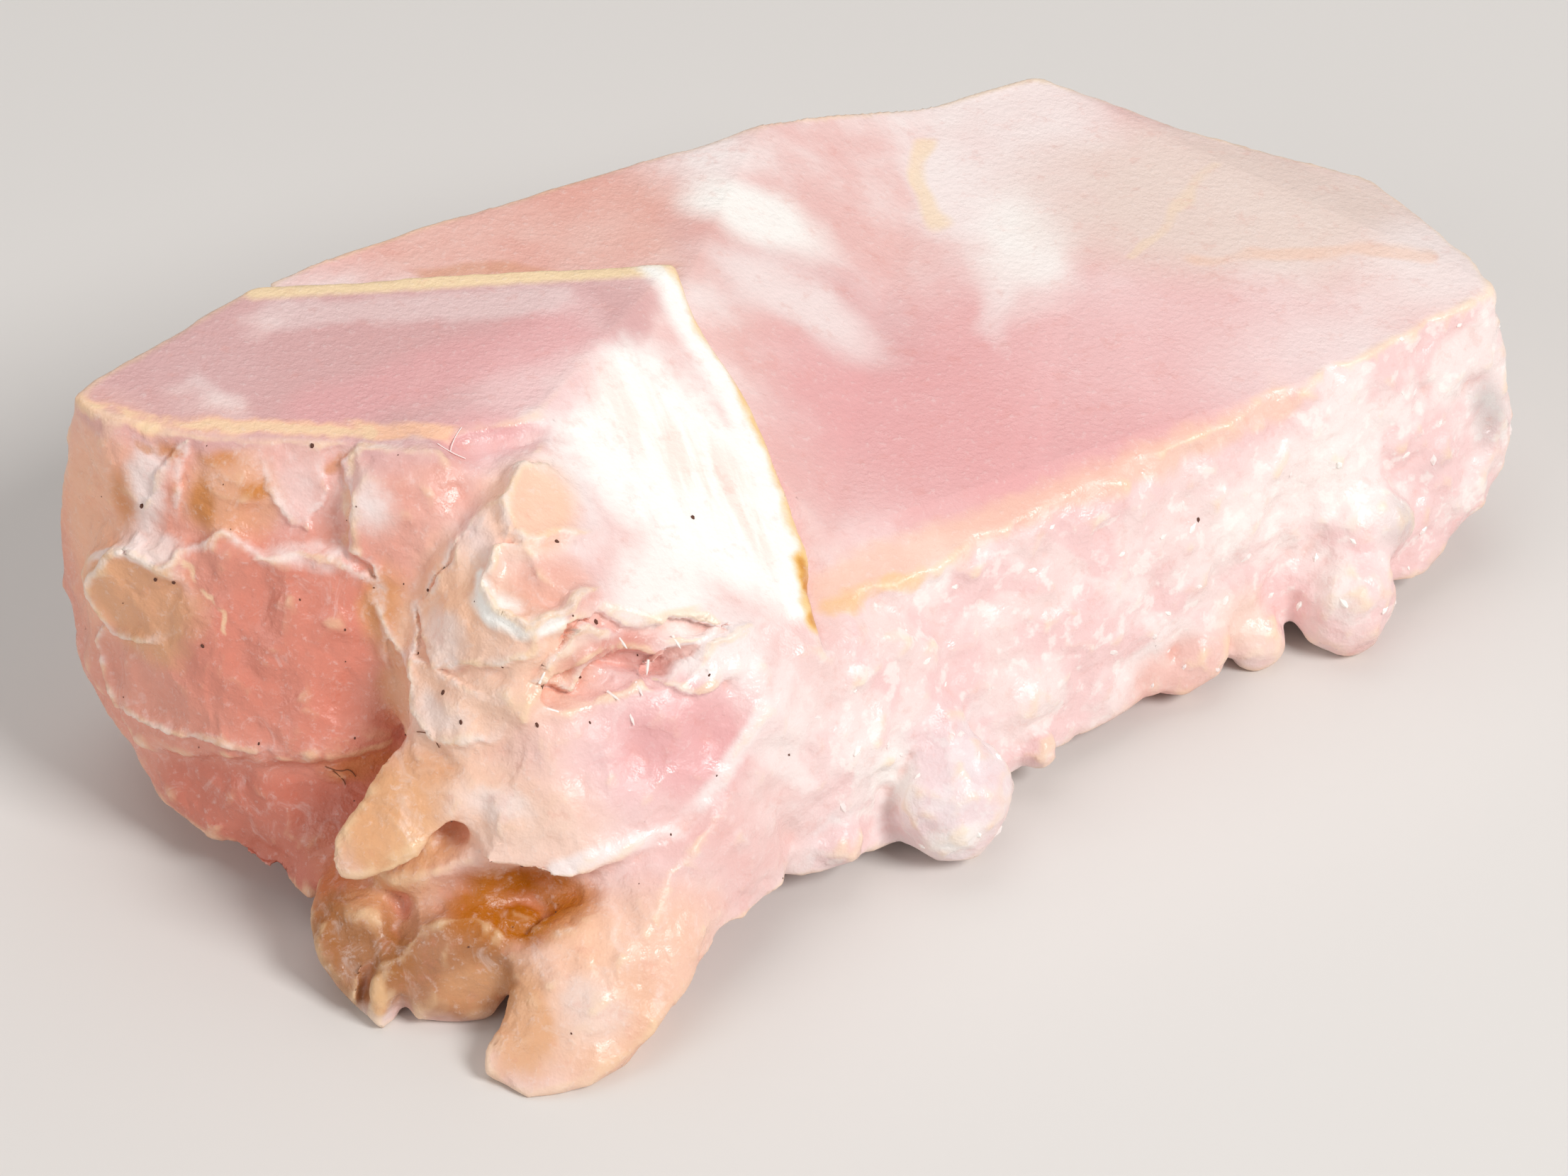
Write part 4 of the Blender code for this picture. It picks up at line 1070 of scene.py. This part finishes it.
class DustOperator(bpy.types.Operator):
    """Lay dust specks and lint on the stone"""

    bl_idname = "rose_quartz.dust"
    bl_label = "Dust and lint"

    def execute(self, context):
        settings = context.scene.quartz_dust
        skin = bpy.data.objects["stone_skin"]
        chance = np.random.default_rng(SEED)
        model = model_speck(settings.speck)
        twins = []
        chosen = [nearest(skin, spot) for spot in BOLD_SPECKS]
        chosen += scatter(skin, "dusty", SPECKS, SPECK_GAP, chance)
        for number, (place, normal) in enumerate(chosen):
            size = BOLD_SIZE if number < len(BOLD_SPECKS) else chance.uniform(*SPECK_SIZES)
            lean = Vector(chance.normal(0.0, 0.5, 3))
            twins.append(copy_crystal(model, place, normal + lean, size, 1.0))
        join(twins, "dust_specks", plain("dark_dust", settings.dark, 0.8))
        bpy.data.objects.remove(model)
        strands = [model_fibre(skin, points, settings.fibre) for points in FIBRES]
        join(strands, "lint", plain("brown_lint", settings.lint, 0.6))
        strands = [model_fibre(skin, points, settings.fibre) for points in WHITE_FIBRES]
        join(strands, "white_lint", plain("white_lint", settings.white_lint, 0.4))
        return {"FINISHED"}


# Dust specks: how many lie scattered, the gap between them in millimetres, and their sizes as
# shares of a speck's width.
SPECKS = 62
SPECK_GAP = 0.9
SPECK_SIZES = (0.35, 0.75)
BOLD_SIZE = 1.25

# Dust specks that stand out, and lint fibres, as places on the skin.
BOLD_SPECKS = (
    (-3.4, -2.5, 14.5), (-8.3, -5.9, 16.2), (-17.4, -2.5, 17.9), (-23.9, -2.4, 15.0),
    (-23.4, -3.8, 12.7), (-22.7, -4.0, 12.8), (-21.6, -5.3, 10.7), (16.2, 5.1, 8.2),
    (-12.4, -8.9, 11.4), (-11.8, -9.9, 10.9), (-9.0, -10.4, 11.2), (-6.7, -8.1, 14.2),
)
FIBRES = (
    ((-13.5, -9.3, 9.9), (-13.2, -9.5, 10.1), (-12.8, -9.6, 10.0), (-12.6, -9.8, 9.6)),
    ((-17.2, -7.1, 6.4), (-16.7, -7.2, 6.1), (-16.3, -7.2, 6.3), (-16.1, -7.3, 5.9)),
    ((-16.9, -7.1, 6.2), (-16.5, -7.3, 5.9), (-16.5, -7.4, 5.6)),
)
WHITE_FIBRES = (
    ((-11.9, -1.5, 18.0), (-12.2, -2.0, 17.9), (-12.3, -2.6, 17.7)),
    ((-12.8, -2.4, 17.8), (-12.3, -2.7, 17.7), (-11.7, -2.7, 17.6)),
)


def model_speck(width):
    """Model one flat angular speck."""
    deselect()
    bpy.ops.mesh.primitive_ico_sphere_add(subdivisions=1, radius=width / 2.0)
    speck = bpy.context.active_object
    bpy.ops.object.mode_set(mode="EDIT")
    bpy.ops.mesh.select_all(action="SELECT")
    bpy.ops.transform.resize(value=(1.0, 1.5, 0.6))
    bpy.ops.object.mode_set(mode="OBJECT")
    return speck


def model_fibre(skin, points, thickness):
    """Lay one round fibre along places on the skin."""
    places = []
    for spot in points:
        place, normal = nearest(skin, spot)
        places.append(place + normal * thickness)
    curve = bpy.data.curves.new("fibre", "CURVE")
    curve.dimensions = "3D"
    curve.bevel_depth = thickness / 2.0
    curve.bevel_resolution = 1
    curve.use_fill_caps = True
    spline = curve.splines.new("NURBS")
    spline.points.add(len(places) - 1)
    for point, place in zip(spline.points, places):
        point.co = (*place, 1.0)
    spline.order_u = 3
    spline.use_endpoint_u = True
    strand = bpy.data.objects.new("fibre", curve)
    bpy.context.scene.collection.objects.link(strand)
    pick(strand)
    bpy.ops.object.convert(target="MESH")
    return strand


def plain(name, shade, roughness):
    """Mix a plain material of one colour."""
    material = bpy.data.materials.new(name)
    material.use_nodes = True
    shader = material.node_tree.nodes["Principled BSDF"]
    shader.inputs["Base Color"].default_value = (*shade, 1.0)
    shader.inputs["Roughness"].default_value = roughness
    return material


# The stage: floor and lights in metres, each light with its name, place, size and power setting;
# the sky's colour and strength; what the camera looks at; and its lens and sensor.
FLOOR_SIZE = 1.6
LIGHTS = (
    ("key_light", (0.26, -0.20, 0.30), 0.16, "key"),
    ("fill_light", (-0.30, -0.26, 0.20), 0.30, "fill"),
    ("top_light", (-0.05, 0.15, 0.40), 0.35, "fill"),
)
SKY = (1.0, 0.98, 0.96, 1.0)
SKY_STRENGTH = 0.25
AIM = (0.0, 0.0, 9.0)
LENS = 120.0
SENSOR = 36.0


class StageOperator(bpy.types.Operator):
    """Lay the pale floor and set up the soft lights and the camera"""

    bl_idname = "rose_quartz.stage"
    bl_label = "Studio"

    def execute(self, context):
        settings = context.scene.quartz_stage
        deselect()
        bpy.ops.mesh.primitive_plane_add(size=FLOOR_SIZE)
        floor = context.active_object
        floor.name = "floor"
        floor.data.materials.append(plain("pale_floor", settings.floor, 0.75))
        middle = millimetres(AIM)
        for name, place, size, setting in LIGHTS:
            bpy.ops.object.light_add(type="AREA", location=place)
            light = context.active_object
            light.name = name
            light.data.size = size
            light.data.energy = getattr(settings, setting)
            light.rotation_euler = (Vector(place) - middle).to_track_quat("Z", "Y").to_euler()
        world = bpy.data.worlds.new("studio")
        world.use_nodes = True
        sky = world.node_tree.nodes["Background"]
        sky.inputs["Color"].default_value = SKY
        sky.inputs["Strength"].default_value = SKY_STRENGTH
        context.scene.world = world
        tilt = settings.elevation
        back = Vector((0.0, -cos(tilt), sin(tilt)))
        bpy.ops.object.camera_add(location=middle + back * settings.distance)
        camera = context.active_object
        camera.name = "camera"
        camera.rotation_euler = (radians(90.0) - tilt, 0.0, 0.0)
        camera.data.lens = LENS
        camera.data.sensor_width = SENSOR
        camera.data.clip_start = 1.0 * MM
        context.scene.camera = camera
        context.scene.view_settings.view_transform = "Standard"
        return {"FINISHED"}


class QuartzPanel(bpy.types.Panel):
    """Buttons and settings for the rose quartz specimen"""

    bl_idname = "VIEW3D_PT_rose_quartz"
    bl_label = "Rose Quartz"
    bl_space_type = "VIEW_3D"
    bl_region_type = "UI"
    bl_category = "Rose Quartz"

    def draw(self, context):
        layout = self.layout
        for operator in OPERATORS:
            layout.operator(operator.bl_idname)
        for group in (context.scene.quartz_shape, context.scene.quartz_colours,
                      context.scene.quartz_dust, context.scene.quartz_stage):
            box = layout.box()
            for name in group.bl_rna.properties.keys():
                if name not in ("rna_type", "name"):
                    box.prop(group, name)


GROUPS = {
    "quartz_shape": QuartzShape,
    "quartz_colours": QuartzColours,
    "quartz_dust": DustSettings,
    "quartz_stage": StageSettings,
}
OPERATORS = (StageOperator, StoneOperator, CrystalsOperator, DustOperator)


def register():
    for name, group in GROUPS.items():
        bpy.utils.register_class(group)
        setattr(bpy.types.Scene, name, bpy.props.PointerProperty(type=group))
    for item in (*OPERATORS, QuartzPanel):
        bpy.utils.register_class(item)


def unregister():
    for item in reversed((*OPERATORS, QuartzPanel)):
        bpy.utils.unregister_class(item)
    for name, group in reversed(GROUPS.items()):
        delattr(bpy.types.Scene, name)
        bpy.utils.unregister_class(group)


def main():
    """Run every step in order."""
    register()
    bpy.ops.rose_quartz.stage()
    bpy.ops.rose_quartz.stone()
    bpy.ops.rose_quartz.crystals()
    bpy.ops.rose_quartz.dust()


if __name__ == "__main__":
    main()
